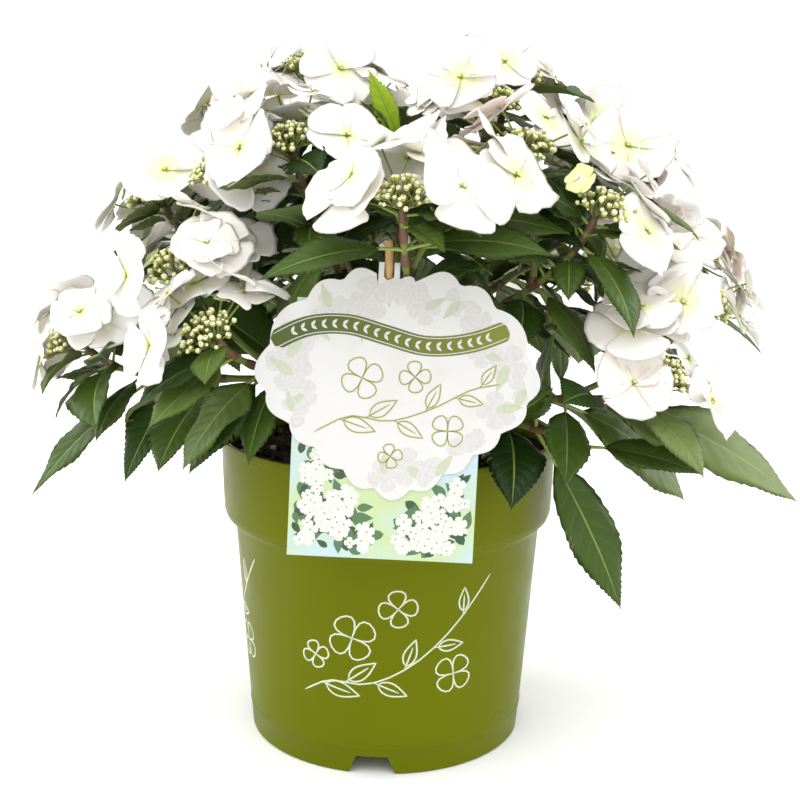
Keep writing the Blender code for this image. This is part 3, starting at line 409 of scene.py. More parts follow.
def twig_point(twig, share):
    """The point of a twig's straight runs at a share of its curve."""
    run = max(0, share - twig.first) / (1 - twig.first) * twig.runs
    low = min(int(run), twig.runs - 1)
    ends = [twig.first + (1 - twig.first) * i / twig.runs for i in (low, low + 1)]
    return bezier(twig.curve, ends[0]).lerp(bezier(twig.curve, ends[1]), run - low)


# Keeping apart


class Space:
    """Points that are taken, sorted into cubes, with their owner and thickness."""

    def __init__(self):
        self.cubes = {}
        self.gaps = (GAP_OTHER, GAP_OWN)

    def cube(self, point):
        return tuple(int(floor(value / CUBE)) for value in point)

    def take(self, points, owner, thickness=0.0):
        for point in points:
            entry = (point.x, point.y, point.z, owner, thickness)
            self.cubes.setdefault(self.cube(point), []).append(entry)

    def clashes(self, point, owner, free):
        """Whether a point is too near to another owner's, or, if it is free, to its own."""
        i, j, k = self.cube(point)
        for a, b, c in NEAR:
            for x, y, z, other, thickness in self.cubes.get((i + a, j + b, k + c), ()):
                if other == owner and not free:
                    continue
                gap = self.gaps[other == owner] + thickness
                apart = (x - point.x) ** 2 + (y - point.y) ** 2 + (z - point.z) ** 2
                if apart < gap * gap:
                    return "own" if other == owner else "other"
        return ""

    def verdict(self, cloud, owner):
        """'' where a cloud of (point, free) fits, 'own' or 'other' where it clashes."""
        worst = ""
        for point, free in cloud:
            if in_pot(point) or in_label(point):
                return "other"
            found = self.clashes(point, owner, free)
            if found == "other":
                return found
            worst = found or worst
        return worst


def in_pot(point):
    """Whether a point is in or too near the pot."""
    radius = RIM_RADIUS if point.z > SHOULDER_HEIGHT else SHOULDER_RADIUS
    near = hypot(point.x, point.y) < radius + GAP_POT
    return near and point.z < POT_HEIGHT + GAP_POT


def in_label(point):
    """Whether a point is in, just behind or anywhere in front of the label."""
    across, along, ahead = label_place().inverted() @ point
    if ahead < -GAP_OTHER - BOARD_THICK:
        return False
    wide = (across - BOARD_MIDDLE[0]) / (BOARD_HALF[0] + GAP_OTHER)
    high = (along - BOARD_MIDDLE[1]) / (BOARD_HALF[1] + GAP_OTHER)
    on_card = (
        abs(across - CARD_MIDDLE[0]) < CARD_HALF[0] + GAP_OTHER
        and abs(along - CARD_MIDDLE[1]) < CARD_HALF[1] + GAP_OTHER
    )
    on_tab = abs(across) < TAB_HALF + GAP_OTHER and abs(along) < TAB_TOP + GAP_OTHER
    return wide * wide + high * high < 1 or on_card or on_tab


def curve_points(curve, first, last, step=3 * MM):
    """Points along a part of a cubic curve."""
    count = max(2, int((curve[3] - curve[0]).length * (last - first) / step))
    return [bezier(curve, first + (last - first) * i / count) for i in range(count + 1)]


# Leaves


def leaf_at(leaf, share):
    """Point, direction and normal at a share of a leaf's length, which bends evenly."""
    turn = leaf.bend * share
    size = leaf.length / leaf.bend
    point = leaf.root + leaf.way * (size * sin(turn))
    point = point - leaf.normal * (size * (1 - cos(turn)))
    way = leaf.way * cos(turn) - leaf.normal * sin(turn)
    normal = leaf.normal * cos(turn) + leaf.way * sin(turn)
    return point, way, normal


def leaf_cloud(leaf):
    """Points over a leaf, each with whether it is free of the leaf's own stem."""
    across = leaf.way.cross(leaf.normal)
    cloud = []
    count = max(3, round(leaf.length / SPACING))
    widest = leaf.stalk + WIDEST * (1 - leaf.stalk)
    for share in [widest] + [i / count for i in range(1, count + 1)]:
        point = leaf_at(leaf, share)[0]
        blade = (share - leaf.stalk) / (1 - leaf.stalk)
        wide = 0.0
        if blade > 0:
            wide = leaf.half_width * min(blade / WIDEST, (1 - blade) / (1 - WIDEST))
        rows = ceil(wide / SPACING)
        for j in range(-rows, rows + 1):
            shift = wide * j / rows if rows else 0.0
            cloud.append((point + across * shift, blade > FREE_STALK))
    return cloud


def leaf_towards(root, tip, bend, roll, width):
    """The leaf that grows from a root to a tip, bent over and rolled by degrees."""
    chord = tip - root
    bend = radians(bend)
    straight = chord.normalized()
    normal = square_to(UP * PLACED_FACE[0] + outward(tip) * PLACED_FACE[1], straight)
    normal = Matrix.Rotation(radians(roll), 3, straight) @ normal
    half = bend / 2
    way = straight * cos(half) + normal * sin(half)
    normal = normal * cos(half) - straight * sin(half)
    length = chord.length * half / sin(half)
    return Leaf(root, way, normal, bend, length, width * length, LEAF_STALK)


def leaf_beside(twig, share, turn, length, dice):
    """A leaf at a share of a twig, turned round it, with its own small differences."""
    root = twig_point(twig, share)
    stem = bezier_slope(twig.curve, share).normalized()
    level = square_to(stem.cross(UP) if abs(stem.z) < 0.98 else Vector((1, 0, 0)), stem)
    other = level.cross(stem)
    turn = radians(turn + dice.uniform(-LEAF_TURN, LEAF_TURN))
    side = around(level, other, turn)
    spread = radians(dice.uniform(*LEAF_SPREAD))
    way = (side * sin(spread) + stem * cos(spread)).normalized()
    if way.z < STEEPEST_FALL:
        way = (way + UP * FALL_LIFT).normalized()
    sky = UP * GROWN_FACE[0] + outward(root + way * length) * GROWN_FACE[1]
    normal = square_to(sky, way)
    roll = radians(dice.uniform(-LEAF_ROLL, LEAF_ROLL))
    normal = Matrix.Rotation(roll, 3, way) @ normal
    bend = radians(dice.uniform(*LEAF_BEND))
    size = length * dice.uniform(*LEAF_SIZES)
    return Leaf(root, way, normal, bend, size, size * LEAF_HALF_WIDTH, LEAF_STALK)


# Flower heads


def head_frame(head):
    """Two directions square on a head's axis."""
    first = square_to(outward(head.place) + UP * 0.01, head.axis)
    return first, head.axis.cross(first)


def open_turn(head):
    """The turn, in a head's frame, of the middle of its ring's open stretch."""
    first, second = head_frame(head)
    way = outward(head.place)
    if head.place.y < RING_BACK:
        way = way + Vector((0, -RING_FRONT, 0))
    return atan2(way.dot(second), way.dot(first))


def floret_cloud(floret):
    """Points over a floret, in rings."""
    other = floret.normal.cross(floret.along)
    cloud = [(floret.centre, True)]
    rings = max(1, round(floret.radius / SPACING))
    for ring in range(1, rings + 1):
        radius = floret.radius * ring / rings
        count = max(6, round(2 * pi * radius / SPACING))
        for i in range(count):
            turn = 2 * pi * i / count
            cloud.append((floret.centre + around(floret.along, other, turn) * radius, True))
    return cloud


def floret_beside(head, twig, number, turn, dice):
    """A floret in the ring round a head, on a stalk from the twig just under its dome."""
    first, second = head_frame(head)
    turn = turn + dice.uniform(-FLORET_STRAY, FLORET_STRAY)
    side = around(first, second, turn)
    rise = dice.uniform(*FLORET_RISE)
    centre = head.place + side * dice.uniform(*FLORET_RING) + head.axis * rise
    tilt = radians(dice.uniform(*FLORET_TILT))
    normal = head.axis * cos(tilt) + side * sin(tilt)
    front = FLORET_FRONT if head.place.y < RING_BACK else 0
    normal = (normal + UP * FLORET_LIFT - Vector((0, front, 0))).normalized()
    along = square_to(side, normal)
    along = Matrix.Rotation(dice.uniform(0, pi / 2), 3, normal) @ along
    below = STALK_STEP * (number + 1.5)
    root = twig_point(twig, 1 - below / bezier_slope(twig.curve, 1).length)
    return Floret(root, centre, normal, along, dice.uniform(*FLORET_RADII))


# Growing


def grow_heads(name, growth, space, seed):
    """Adds the florets of a cane's heads that fit."""
    for number, (head, twig) in enumerate(zip(growth.heads, [growth.stem] + growth.sides)):
        dice = random.Random(seed * 100 + number)
        count = dice.randint(*FLORETS)
        start = open_turn(head) + radians(RING_GAP / 2 + dice.uniform(-RING_TURN, RING_TURN))
        for i in range(count):
            turn = start + radians(360 - RING_GAP) * (i + 0.5) / count
            for attempt in range(TRIES):
                floret = floret_beside(head, twig, i, turn, dice)
                cloud = floret_cloud(floret)
                verdict = space.verdict(cloud, name)
                if not verdict or (verdict == "own" and attempt == TRIES - 1):
                    space.take((point for point, _ in cloud), name)
                    growth.florets.append(floret)
                    break


def grow_placed_leaves(plant, space):
    """Adds the leaves with a place of their own."""
    rows = [(name, *row) for name, rows in PLACED_LEAVES.items() for row in rows]
    for number, (name, share, tip, bend, roll, width) in enumerate(rows):
        dice = random.Random(PLACED_SEED + number)
        root = twig_point(plant[name].stem, share)
        for attempt in range(TRIES):
            shift = Vector([dice.uniform(-1, 1) for _ in "xyz"]) * (SEARCH_SHIFT * attempt)
            leaf = leaf_towards(root, place(*tip) + shift, bend, roll, width)
            cloud = leaf_cloud(leaf)
            verdict = space.verdict(cloud, name)
            if verdict != "other" and (not verdict or attempt > TRIES // 2):
                space.take((point for point, free in cloud if free), name)
                plant[name].leaves.append(leaf)
                break


def grow_leaf(name, twig, share, turn, length, space, dice):
    """One leaf of a pair, smaller or turned a little further at each try, or None."""
    for attempt in range(TRIES):
        size = length * (1 - SHRINK * attempt)
        tried = turn + dice.uniform(-SEARCH_TURN, SEARCH_TURN) * attempt
        leaf = leaf_beside(twig, share, tried, size, dice)
        cloud = leaf_cloud(leaf)
        if leaf_at(leaf, 1)[0].z > LOWEST_TIP and not space.verdict(cloud, name):
            space.take((point for point, free in cloud if free), name)
            return leaf
    return None


def grow_pairs(name, growth, pairs, space, seed, fits=lambda tip: True):
    """Adds leaves in pairs, from their twig, share of it, turn and length, where they fit."""
    for number, (twig, share, turn, length) in enumerate(pairs):
        for half in (0, 1):
            dice = random.Random(seed + number * 2 + half)
            leaf = grow_leaf(name, twig, share, turn + 180 * half, length, space, dice)
            if leaf and fits(leaf_at(leaf, 1)[0]):
                growth.leaves.append(leaf)


def main_pairs(growth):
    """The leaf pairs of a cane and of its side twigs, shorter towards the tip."""
    places = [(growth.stem, share, index) for index, share in enumerate(NODES)]
    places += [(side, SIDE_NODE, SIDE_INDEX) for side in growth.sides]
    for twig, share, index in places:
        length = blend(LEAF_LENGTHS, index / (len(NODES) - 1))
        yield twig, share, 90 * index + LEAF_FIRST_TURN, length


def dome_rim(head):
    """Points round a head's dome."""
    first, second = head_frame(head)
    return [
        head.place + around(first, second, turn) * DOME_RADIUS * share
        for share in (0.4, 0.9)
        for turn in (radians(30 * i) for i in range(12))
    ]


def grow_plant():
    """Everything on each cane: its stem, side twigs, heads, florets and leaves."""
    space = Space()
    space.take(trunk_surface(), "trunk")
    stick = [STICK_FOOT.lerp(STICK_TOP, i / STICK_POINTS) for i in range(STICK_POINTS + 1)]
    space.take(stick, "stick", STICK_RADIUS)
    plant = {}
    for cane in CANES:
        name = cane.name
        stem = stem_of(cane)
        sides = [side_of(stem, tip) for tip in cane.side_heads]
        tips = ((cane.tip,) if cane.blooms else ()) + cane.side_heads
        plant[name] = Growth(stem, sides, [head_at(tip) for tip in tips], [], [], [])
        space.take(curve_points(stem.curve, 0, stem.first), "bough", BOUGH_RADII[0])
        space.take(curve_points(stem.curve, stem.first + 0.02, 0.97), name, STEM_RADII[0])
        for side in sides:
            space.take(curve_points(side.curve, 0, 0.97), name, TWIG_RADII[0])
        for head in plant[name].heads:
            space.take(dome_rim(head), name, DOME_THICK)
    for seed, cane in enumerate(CANES, 1):
        grow_heads(cane.name, plant[cane.name], space, seed)
    grow_placed_leaves(plant, space)
    for seed, cane in enumerate(CANES, 1):
        if cane.blooms:
            growth = plant[cane.name]
            grow_pairs(cane.name, growth, main_pairs(growth), space, seed * 100 + 50)
    return plant, space


def trunk_point(height):
    """A point on the trunk's middle line at a height over the soil."""
    return Vector((TRUNK_LEAN * height, 0, SOIL_TOP + height))


def trunk_radius(height):
    """The trunk's radius at a height over the soil."""
    for (low, thick), (high, thin) in zip(TRUNK_TAPER, TRUNK_TAPER[1:]):
        if height <= high * MM:
            return blend((thick, thin), (height / MM - low) / (high - low)) * MM
    return TRUNK_TAPER[-1][1] * MM


def trunk_surface():
    """Points over the trunk's surface."""
    return [
        trunk_point(row * 5 * MM) + place(45 * i, trunk_radius(row * 5 * MM) / MM, 0)
        for row in range(15)
        for i in range(8)
    ]


def inner_profile(gap):
    """The pot's inner face as (radius, height), from the middle of the floor to the rim."""
    return (
        (0, FLOOR + gap),
        (FOOT_RADIUS - WALL + INNER_EASE - gap, FLOOR + gap),
        (SHOULDER_RADIUS - WALL - gap, SHOULDER_HEIGHT + INNER_EASE),
        (COLLAR_RADIUS - WALL - gap, COLLAR_BOTTOM - INNER_EASE),
        (RIM_RADIUS - LIP_STEP - WALL - gap, POT_HEIGHT - INNER_EASE),
    )


def label_place():
    """The label's frame: X across it, Y up along it and Z out of its printed face."""
    lean = Matrix.Rotation(pi / 2 - LABEL_LEAN, 4, "X")
    return Matrix.Translation(LABEL_TOP) @ lean @ Matrix.Rotation(LABEL_ROLL, 4, "Z")


# Finer growth

FINE_GAP_OTHER = 2.2 * MM
FINE_GAP_OWN = 1.0 * MM
FINE_NODES = ((0.46, 60), (0.56, 56), (0.68, 52), (0.80, 46), (0.90, 38))  # share, length in mm
FINE_SIDE_NODES = ((0.36, 46), (0.80, 36))
FINE_TURN = 45
FINE_BARE = ("left_low", "left_front", "right_low", "right_skirt", "right")
# More florets for each head: how many, and their ring, rise and radii
FINE_FLORETS = (3, (20 * MM, 36 * MM), (-6 * MM, 22 * MM), (15 * MM, 23 * MM))
YOUNG_FLORETS = (1, (14 * MM, 22 * MM), (4 * MM, 12 * MM), (7 * MM, 10 * MM))
FINE_OPEN = 62  # degrees on both sides of a ring's open stretch where its buds show
PETAL_REACH = 1.08  # of a floret's radius, as far as its petals and their waves go
PETAL_LIFT = 0.25  # and as far as they rise or sink


def in_reach(point):
    """Whether a point lies within the box of the solids."""
    return all(low < value < high for low, value, high in zip(CAD_BOX[0], point, CAD_BOX[1]))


def tucked(floret):
    """A floret moved in just so far that its petals stay in the box of the solids."""
    centre = floret.centre.copy()
    for axis, lean in enumerate(floret.normal):
        level = sqrt(max(0, 1 - lean * lean))
        reach = floret.radius * (PETAL_REACH * level + PETAL_LIFT * abs(lean))
        low, high = CAD_BOX[0][axis] + reach, CAD_BOX[1][axis] - reach
        centre[axis] = min(max(centre[axis], low), high)
    return floret._replace(centre=centre)


def try_floret(head, twig, ring, rise, radii, space, name, dice):
    """One more floret of a head where there is room for it, or None."""
    for _ in range(TRIES):
        turn = open_turn(head) + radians(dice.uniform(FINE_OPEN, 360 - FINE_OPEN))
        floret = floret_beside(head, twig, 1, turn, dice)
        side = square_to(floret.centre - head.place, head.axis)
        centre = head.place + side * dice.uniform(*ring) + head.axis * dice.uniform(*rise)
        floret = floret._replace(centre=centre, radius=dice.uniform(*radii))
        cloud = floret_cloud(floret)
        if all(in_reach(point) for point, _ in cloud) and not space.verdict(cloud, name):
            space.take((point for point, _ in cloud), name)
            return floret
    return None


def grow_fine_florets(name, growth, space, seed):
    """Adds showy florets round a cane's heads, and small green ones that open last."""
    dice = random.Random(FINE_SEED + seed)
    for head, twig in zip(growth.heads, [growth.stem] + growth.sides):
        for found, row in ((growth.florets, FINE_FLORETS), (growth.young, YOUNG_FLORETS)):
            for _ in range(row[0]):
                floret = try_floret(head, twig, *row[1:], space, name, dice)
                if floret:
                    found.append(floret)


def fine_pairs(growth):
    """The smaller leaf pairs between a cane's main ones."""
    places = [(growth.stem, share, size) for share, size in FINE_NODES]
    places += [(side, share, size) for side in growth.sides for share, size in FINE_SIDE_NODES]
    for number, (twig, share, size) in enumerate(places):
        yield twig, share, FINE_TURN + 90 * number, size * MM


def check_reach(plant):
    """Raises an error if the plant grew otherwise than its solids did."""
    for name, growth in plant.items():
        low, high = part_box("foliage_" + name)
        tips = [leaf_at(leaf, 1)[0] for leaf in growth.leaves]
        tips += [floret.centre for floret in growth.florets] + [growth.stem.curve[3]]
        for axis in range(3):
            near = min(tip[axis] for tip in tips) - low[axis]
            far = high[axis] - max(tip[axis] for tip in tips)
            if near < -CLEAR or far < -CLEAR:
                raise RuntimeError(f"foliage_{name} doesn't hold the cane that grew for it")


@functools.cache
def whole_plant():
    """The growth of each cane, as its solid has it and then finer."""
    plant, space = grow_plant()
    check_reach(plant)
    space.gaps = (FINE_GAP_OTHER, FINE_GAP_OWN)
    for seed, (name, growth) in enumerate(plant.items(), 1):
        grow_fine_florets(name, growth, space, seed)
        for florets in (growth.florets, growth.young):
            florets[:] = map(tucked, florets)
    for seed, (name, growth) in enumerate(plant.items(), 1):
        if growth.heads and name not in FINE_BARE:
            grow_pairs(name, growth, fine_pairs(growth), space, FINE_SEED + seed * 100, in_reach)
    return plant


# Shapes in numbers


def unit(vectors):
    """Vectors at length one."""
    return vectors / np.linalg.norm(vectors, axis=-1, keepdims=True)


def grid_faces(numbers):
    """Quads of a grid of point numbers."""
    corners = (numbers[:-1, :-1], numbers[:-1, 1:], numbers[1:, 1:], numbers[1:, :-1])
    return np.stack(corners, axis=-1).reshape(-1, 4)


@functools.cache
def shell_faces(rows, columns):
    """Faces of a thin closed shell: a grid above and one below that share their border."""
    above = np.arange(rows * columns).reshape(rows, columns)
    below = above.copy()
    inner = (rows - 2, columns - 2)
    below[1:-1, 1:-1] = rows * columns + np.arange(inner[0] * inner[1]).reshape(inner)
    return grid_faces(above), grid_faces(below)[:, ::-1]


@functools.cache
def tube_faces(rings, sides):
    """Faces of a tube: its wall, and a fan at each end round a middle point."""
    numbers = np.arange(rings * sides).reshape(rings, sides)
    wall = grid_faces(np.concatenate([numbers, numbers[:, :1]], axis=1))
    first, last = numbers[0], numbers[-1]
    middle = np.full(sides, rings * sides)
    start = np.stack([middle, np.roll(first, -1), first], axis=1)
    end = np.stack([middle + 1, last, np.roll(last, -1)], axis=1)
    return wall, start, end


def tube_points(path, radii, sides):
    """Points of a tube along a path, with a radius, or one for each side, at each point."""
    path = np.asarray(path, float)
    ways = unit(np.gradient(path, axis=0))
    chord = path[-1] - path[0]
    level = np.cross(chord, (0, 0, 1))
    if np.linalg.norm(level) < 0.1 * np.linalg.norm(chord):
        level = np.array((1.0, 0, 0))
    side = unit(level - (ways @ level)[:, None] * ways)
    other = np.cross(ways, side)
    turns = 2 * np.pi * np.arange(sides) / sides
    radii = np.broadcast_to(np.asarray(radii, float).reshape(len(path), -1), (len(path), sides))
    ring = side[:, None] * np.cos(turns)[:, None] + other[:, None] * np.sin(turns)[:, None]
    body = path[:, None] + ring * radii[..., None]
    return np.concatenate([body.reshape(-1, 3), path[:1], path[-1:]])


class Heap:
    """Many small shapes gathered for one piece: points, faces and each face's look."""

    def __init__(self):
        self.points = []
        self.faces = []
        self.looks = []
        self.total = 0
        self.triangles = 0

    def add(self, points, *groups):
        """Adds a shape, in groups of an array of faces and one look, or a look for each."""
        self.points.append(points)
        for faces, looks in groups:
            self.faces.append(faces + self.total)
            self.looks.append(np.broadcast_to(looks, len(faces)))
            self.triangles += len(faces) * (faces.shape[1] - 2)
        self.total += len(points)

    def add_tube(self, path, radii, sides, look=0, ring_looks=None):
        """Adds a tube, in one look or with a look for each of its rings."""
        wall, start, end = tube_faces(len(path), sides)
        walls = look if ring_looks is None else np.repeat(ring_looks, sides)[: len(wall)]
        self.add(tube_points(path, radii, sides), (wall, walls), (start, look), (end, look))

    def add_shell(self, above, below, looks, under):
        """Adds a thin closed shell between two grids of points that share their border."""
        points = np.concatenate([above.reshape(-1, 3), below[1:-1, 1:-1].reshape(-1, 3)])
        faces, back = shell_faces(*above.shape[:2])
        self.add(points, (faces, looks), (back, under))

    def mesh(self, name):
        """The heap as a mesh."""
        made = bpy.data.meshes.new(name)
        rows = [row for block in self.faces for row in block.tolist()]
        made.from_pydata(np.concatenate(self.points).tolist(), [], rows)
        made.polygons.foreach_set("material_index", np.concatenate(self.looks).astype(np.int32))
        made.validate()
        made.shade_smooth()
        return made


def loose(name, data):
    """An object in the scene that holds a mesh, a lamp or a camera."""
    made = bpy.data.objects.new(name, data)
    bpy.context.scene.collection.objects.link(made)
    return made


def show(name, shape, looks, slot, *nodes):
    """A finished piece from a heap or a mesh, riding on the frame in place of its nodes."""
    mesh = shape.mesh(name) if isinstance(shape, Heap) else shape
    for look in looks:
        mesh.materials.append(look)
    made = loose(name, mesh)
    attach(made, "root")
    if nodes:
        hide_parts(*nodes)
    return made


def roomy(heaps):
    """The last of some heaps, or a new one where that is full."""
    if heaps[-1].triangles > PIECE_LIMIT:
        heaps.append(Heap())
    return heaps[-1]


def show_heaps(name, heaps, looks, slot):
    """One piece for each heap."""
    for number, heap in enumerate(heaps, 1):
        show(f"{name}_{number}", heap, looks, slot)


def bezier_path(ends, first, last, count):
    """Points along a part of a cubic curve."""
    return bezier([np.array(end) for end in ends], np.linspace(first, last, count)[:, None])


def placed(points, matrix):
    """Points moved by a matrix of four rows."""
    matrix = np.array(matrix)
    return points @ matrix[:3, :3].T + matrix[:3, 3]


# Leaves and petals


LEAF_COLUMNS = np.array((-1, -0.72, -0.42, -0.15, -0.035, 0.035, 0.15, 0.42, 0.72, 1))
VEIN_SHARE = 0.0028  # half of a side vein's breadth, of the blade's length
VEIN_SWEEP = 0.20  # how far a side vein runs towards the tip on its way to the edge
LEAF_FOLDS = (0.06, 0.34)  # radians that its halves fold up
LEAF_DROOPS = (0.05, 0.30)  # and how far they droop at the edge, of their breadth
LEAF_WAVES = (1.4, 2.6)  # along an edge
LEAF_WAVE_SHARES = (0.3, 1)  # of the deepest waves
LEAF_TWIST = 0.35  # radians
NARROWEST = 0.3 * MM  # half of a blade's breadth at its ends
LEAF_TONES = 6
RIB, UNDER, LEAF_VEINS = LEAF_TONES * 2, LEAF_TONES * 2 + 1, (6, 9)


@functools.cache
def leaf_rows(veins):
    """Rows across a blade, as its share, puff, tooth and whether the strip after it is a vein."""
    rows = [(0.0, 0, 0, 0)]
    gap = 0.90 / veins
    for i in range(veins):
        middle = 0.03 + gap * (i + 0.35)
        rows.append((middle - VEIN_SHARE, 0, 1, 1))
        rows.append((middle + VEIN_SHARE, 0, -0.6, 0))
        rows.append((middle + gap * 0.36, 1, 0.9, 0))
        rows.append((middle + gap * 0.62, 1, -0.6, 0))
    rows.append((0.965, 0.2, 0.3, 0))
    rows.append((1.0, 0, 0, 0))
    return [np.array(column, float) for column in zip(*rows)]


def blade_width(share):
    """A leaf's width at a share of its blade, at most one."""
    share = np.clip(share, 0, 1)
    return share**0.95 * (1 - share) ** 1.3 / (0.422**0.95 * 0.578**1.3)


def add_leaf(heap, leaf, tone, dice, settings):
    """A leaf's blade: a thin quilted shell with veins, teeth and a midrib below."""
    veins = LEAF_VEINS[1] if leaf.length > 70 * MM else LEAF_VEINS[0]
    share, puff, tooth, vein = (row[:, None] for row in leaf_rows(veins))
    column = LEAF_COLUMNS
    off = np.abs(column)
    blade = share + VEIN_SWEEP * off * np.sin(np.pi * share)
    wide = np.maximum(leaf.half_width * blade_width(blade), NARROWEST)
    teeth = settings.tooth_depth * tooth * np.sin(np.pi * share) ** 0.5
    across = column * wide + np.sign(column) * (off == 1) * teeth
    fold, droop = dice.uniform(*LEAF_FOLDS), dice.uniform(*LEAF_DROOPS)
    lift = wide * (tan(fold) * off - droop * off**2)
    phases = np.where(column > 0, dice.uniform(0, TURN), dice.uniform(0, TURN))
    waves = dice.uniform(*LEAF_WAVES)
    ripple = np.sin(2 * np.pi * waves * blade + phases)
    lift = lift + settings.leaf_ruffle * dice.uniform(*LEAF_WAVE_SHARES) * wide * off**3 * ripple
    lift = lift + settings.vein_relief * puff * np.sin(np.pi * off**0.8)
    lift = lift - settings.vein_relief * (off < 0.1) * (1 - share)
    along = leaf.stalk + (1 - leaf.stalk) * blade
    turn = leaf.bend * along
    size = leaf.length / leaf.bend
    way, normal = np.array(leaf.way), np.array(leaf.normal)
    side = np.cross(way, normal)
    sine, cosine = np.sin(turn)[..., None], np.cos(turn)[..., None]
    middle = np.array(leaf.root) + way * size * sine - normal * size * (1 - cosine)
    upright = normal * cosine + way * sine
    twist = (dice.uniform(-LEAF_TWIST, LEAF_TWIST) * blade)[..., None]
    out = side * np.cos(twist) + upright * np.sin(twist)
    upright = upright * np.cos(twist) - side * np.sin(twist)
    above = middle + out * across[..., None] + upright * lift[..., None]
    rib = settings.leaf_thickness + settings.rib_depth * (off < 0.1) * (1 - share)
    below = above - upright * rib[..., None]
    looks = np.full((len(share) - 1, len(column) - 1), 2 * tone)
    looks[:, 1:-1] += vein[:-1].astype(int)
    looks[:, 4] = RIB
    under_looks = np.full(looks.shape, UNDER)
    under_looks[:, 4] = RIB
    heap.add_shell(above, below, looks.ravel(), under_looks.ravel())


PETAL_TONES = 4
HEART, HEART_SOFT, HEART_FAINT = (PETAL_TONES + i for i in range(3))
# How far the tint of a floret's heart reaches along its petals, and how often
HEARTS = (
    (30, (HEART, HEART_SOFT, HEART_SOFT, HEART_FAINT)),
    (35, (HEART, HEART_SOFT, HEART_FAINT)),
    (35, (HEART_SOFT, HEART_FAINT)),
)
PETAL_ROWS = np.array((0.03, 0.13, 0.26, 0.42, 0.60, 0.78, 0.91, 1.0))
PETAL_COLUMNS = 19
PETAL_FAN = 0.86
PETAL_SHARE = 0.70  # half of a petal's breadth, of its length
# How single petals differ: their length and breadth, the notch and the unevenness of their
# edge, how far they cup and fold, as shares of their size, their waves, turn and tilt
PETAL_LENGTHS = (0.92, 1.05)
PETAL_BREADTHS = (0.92, 1.06)
PETAL_NOTCHES = (-0.02, 0.05)
PETAL_JITTER = 0.006
PETAL_CUP = 0.16
PETAL_FOLDS = (-0.08, 0.10)
PETAL_WAVES = (1.6, 3.4)
PETAL_TURN = 0.10  # radians
PETAL_TILTS = (-0.10, 0.16)
SCALLOPS = 4.2  # for each half of a petal's edge
SHALLOWEST = 0.01  # depth of the scallops of the smoothest petals, of their length
FLORET_LAYER = 0.8 * MM


def add_petal(heap, frame_of, radius, looks, dice, settings):
    """One petal: a thin cupped and ruffled shell that fans out from its claw."""
    origin, way, side, normal = frame_of
    turn = np.linspace(-PETAL_FAN, PETAL_FAN, PETAL_COLUMNS)
    reach = PETAL_ROWS[:, None]
    scallop = np.abs(np.sin(np.pi * (SCALLOPS * turn + dice.uniform(0, 1)))) - 0.7
    jitter = np.array([dice.uniform(-PETAL_JITTER, PETAL_JITTER) for _ in turn])
    notch = dice.uniform(*PETAL_NOTCHES) * np.exp(-((turn / 0.16) ** 2))
    depth = dice.uniform(SHALLOWEST, settings.scallop)
    edge = 1 + (depth * scallop + jitter - notch) * reach**5
    along = radius * reach * np.cos(np.pi * turn / 2) ** 1.12 * edge
    breadth = PETAL_SHARE * dice.uniform(*PETAL_BREADTHS) * radius
    across = breadth * reach * np.sin(np.pi * turn) * edge
    lift = radius * dice.uniform(-PETAL_CUP, PETAL_CUP) * reach**2
    wave = np.sin(np.pi * dice.uniform(*PETAL_WAVES) * turn + dice.uniform(0, TURN))
    lift = lift + settings.petal_ruffle * radius * reach**2.2 * wave
    fold = radius * dice.uniform(*PETAL_FOLDS)
    lift = lift + fold * np.abs(np.sin(np.pi * turn)) * reach**1.5
    ridge = np.where(np.arange(PETAL_COLUMNS) % 2 == 0, 1, -1)
    lift = lift + settings.petal_ridge * ridge * reach * (1 - reach) * 4
    parts = (along[..., None] * way, across[..., None] * side, lift[..., None] * normal)
    above = origin + sum(parts)
    below = above - settings.petal_thickness * normal
    rows = np.repeat(looks, PETAL_COLUMNS - 1)
    heap.add_shell(above, below, rows, rows)


def add_floret(heap, floret, tone, dice, settings):
    """Four broad petals, in two pairs that lie over each other."""
    normal = np.array(floret.normal)
    along = np.array(floret.along)
    looks = np.full(len(PETAL_ROWS) - 1, tone)
    chances, hearts = zip(*HEARTS)
    heart = dice.choices(hearts, chances)[0]
    looks[: len(heart)] = heart
    for number in range(4):
        turn = pi / 2 * number + dice.uniform(-PETAL_TURN, PETAL_TURN)
        tilt = dice.uniform(*PETAL_TILTS)
        side = np.cross(normal, along)
        way = around(along, side, turn)
        up = normal * cos(tilt) - way * sin(tilt)
        way = way * cos(tilt) + normal * sin(tilt)
        origin = np.array(floret.centre) + normal * FLORET_LAYER * (number % 2)
        radius = floret.radius * dice.uniform(*PETAL_LENGTHS)
        frame_of = (origin, way, np.cross(way, up), up)
        add_petal(heap, frame_of, radius, looks, dice, settings)


# Stems and buds


STEM, NODE_BROWN, STALK, BUD_STALK = range(4)
NODE_SWELL = 0.38
NODE_REACH = 5 * MM
PETIOLE_RADII = (1.35 * MM, 0.95 * MM)
PEDICEL_RADII = (0.75 * MM, 0.6 * MM)
BUD_STALK_RADII = (0.55 * MM, 0.45 * MM, 0.4 * MM)
BUD_TURN = pi * (3 - sqrt(5))
BUD_RAYS = 9
CYME_SHIFT = 7 * MM  # into the ring's open side
BUD_SIDES = 6
BUD_RINGS = np.array((-0.9, -0.2, 0.55, 0.93))
BUD_DISH = 0.16  # of its radius
BUD_TIP = 3  # the number of its tip's look
BUD_SIZES = (0.65, 1.25)  # of the usual radius
BUD_STRAY = 2.5  # mm up or down
RAY_RADII = (0.9 * MM, 0.7 * MM, 0.55 * MM)
RAY_REACH = 0.55  # of the buds' reach
CYME_ROOT = 9 * MM  # under the dome's middle, where a head's rays leave its stem
EYE_RISE = 0.7 * MM  # over a floret's upper pair of petals


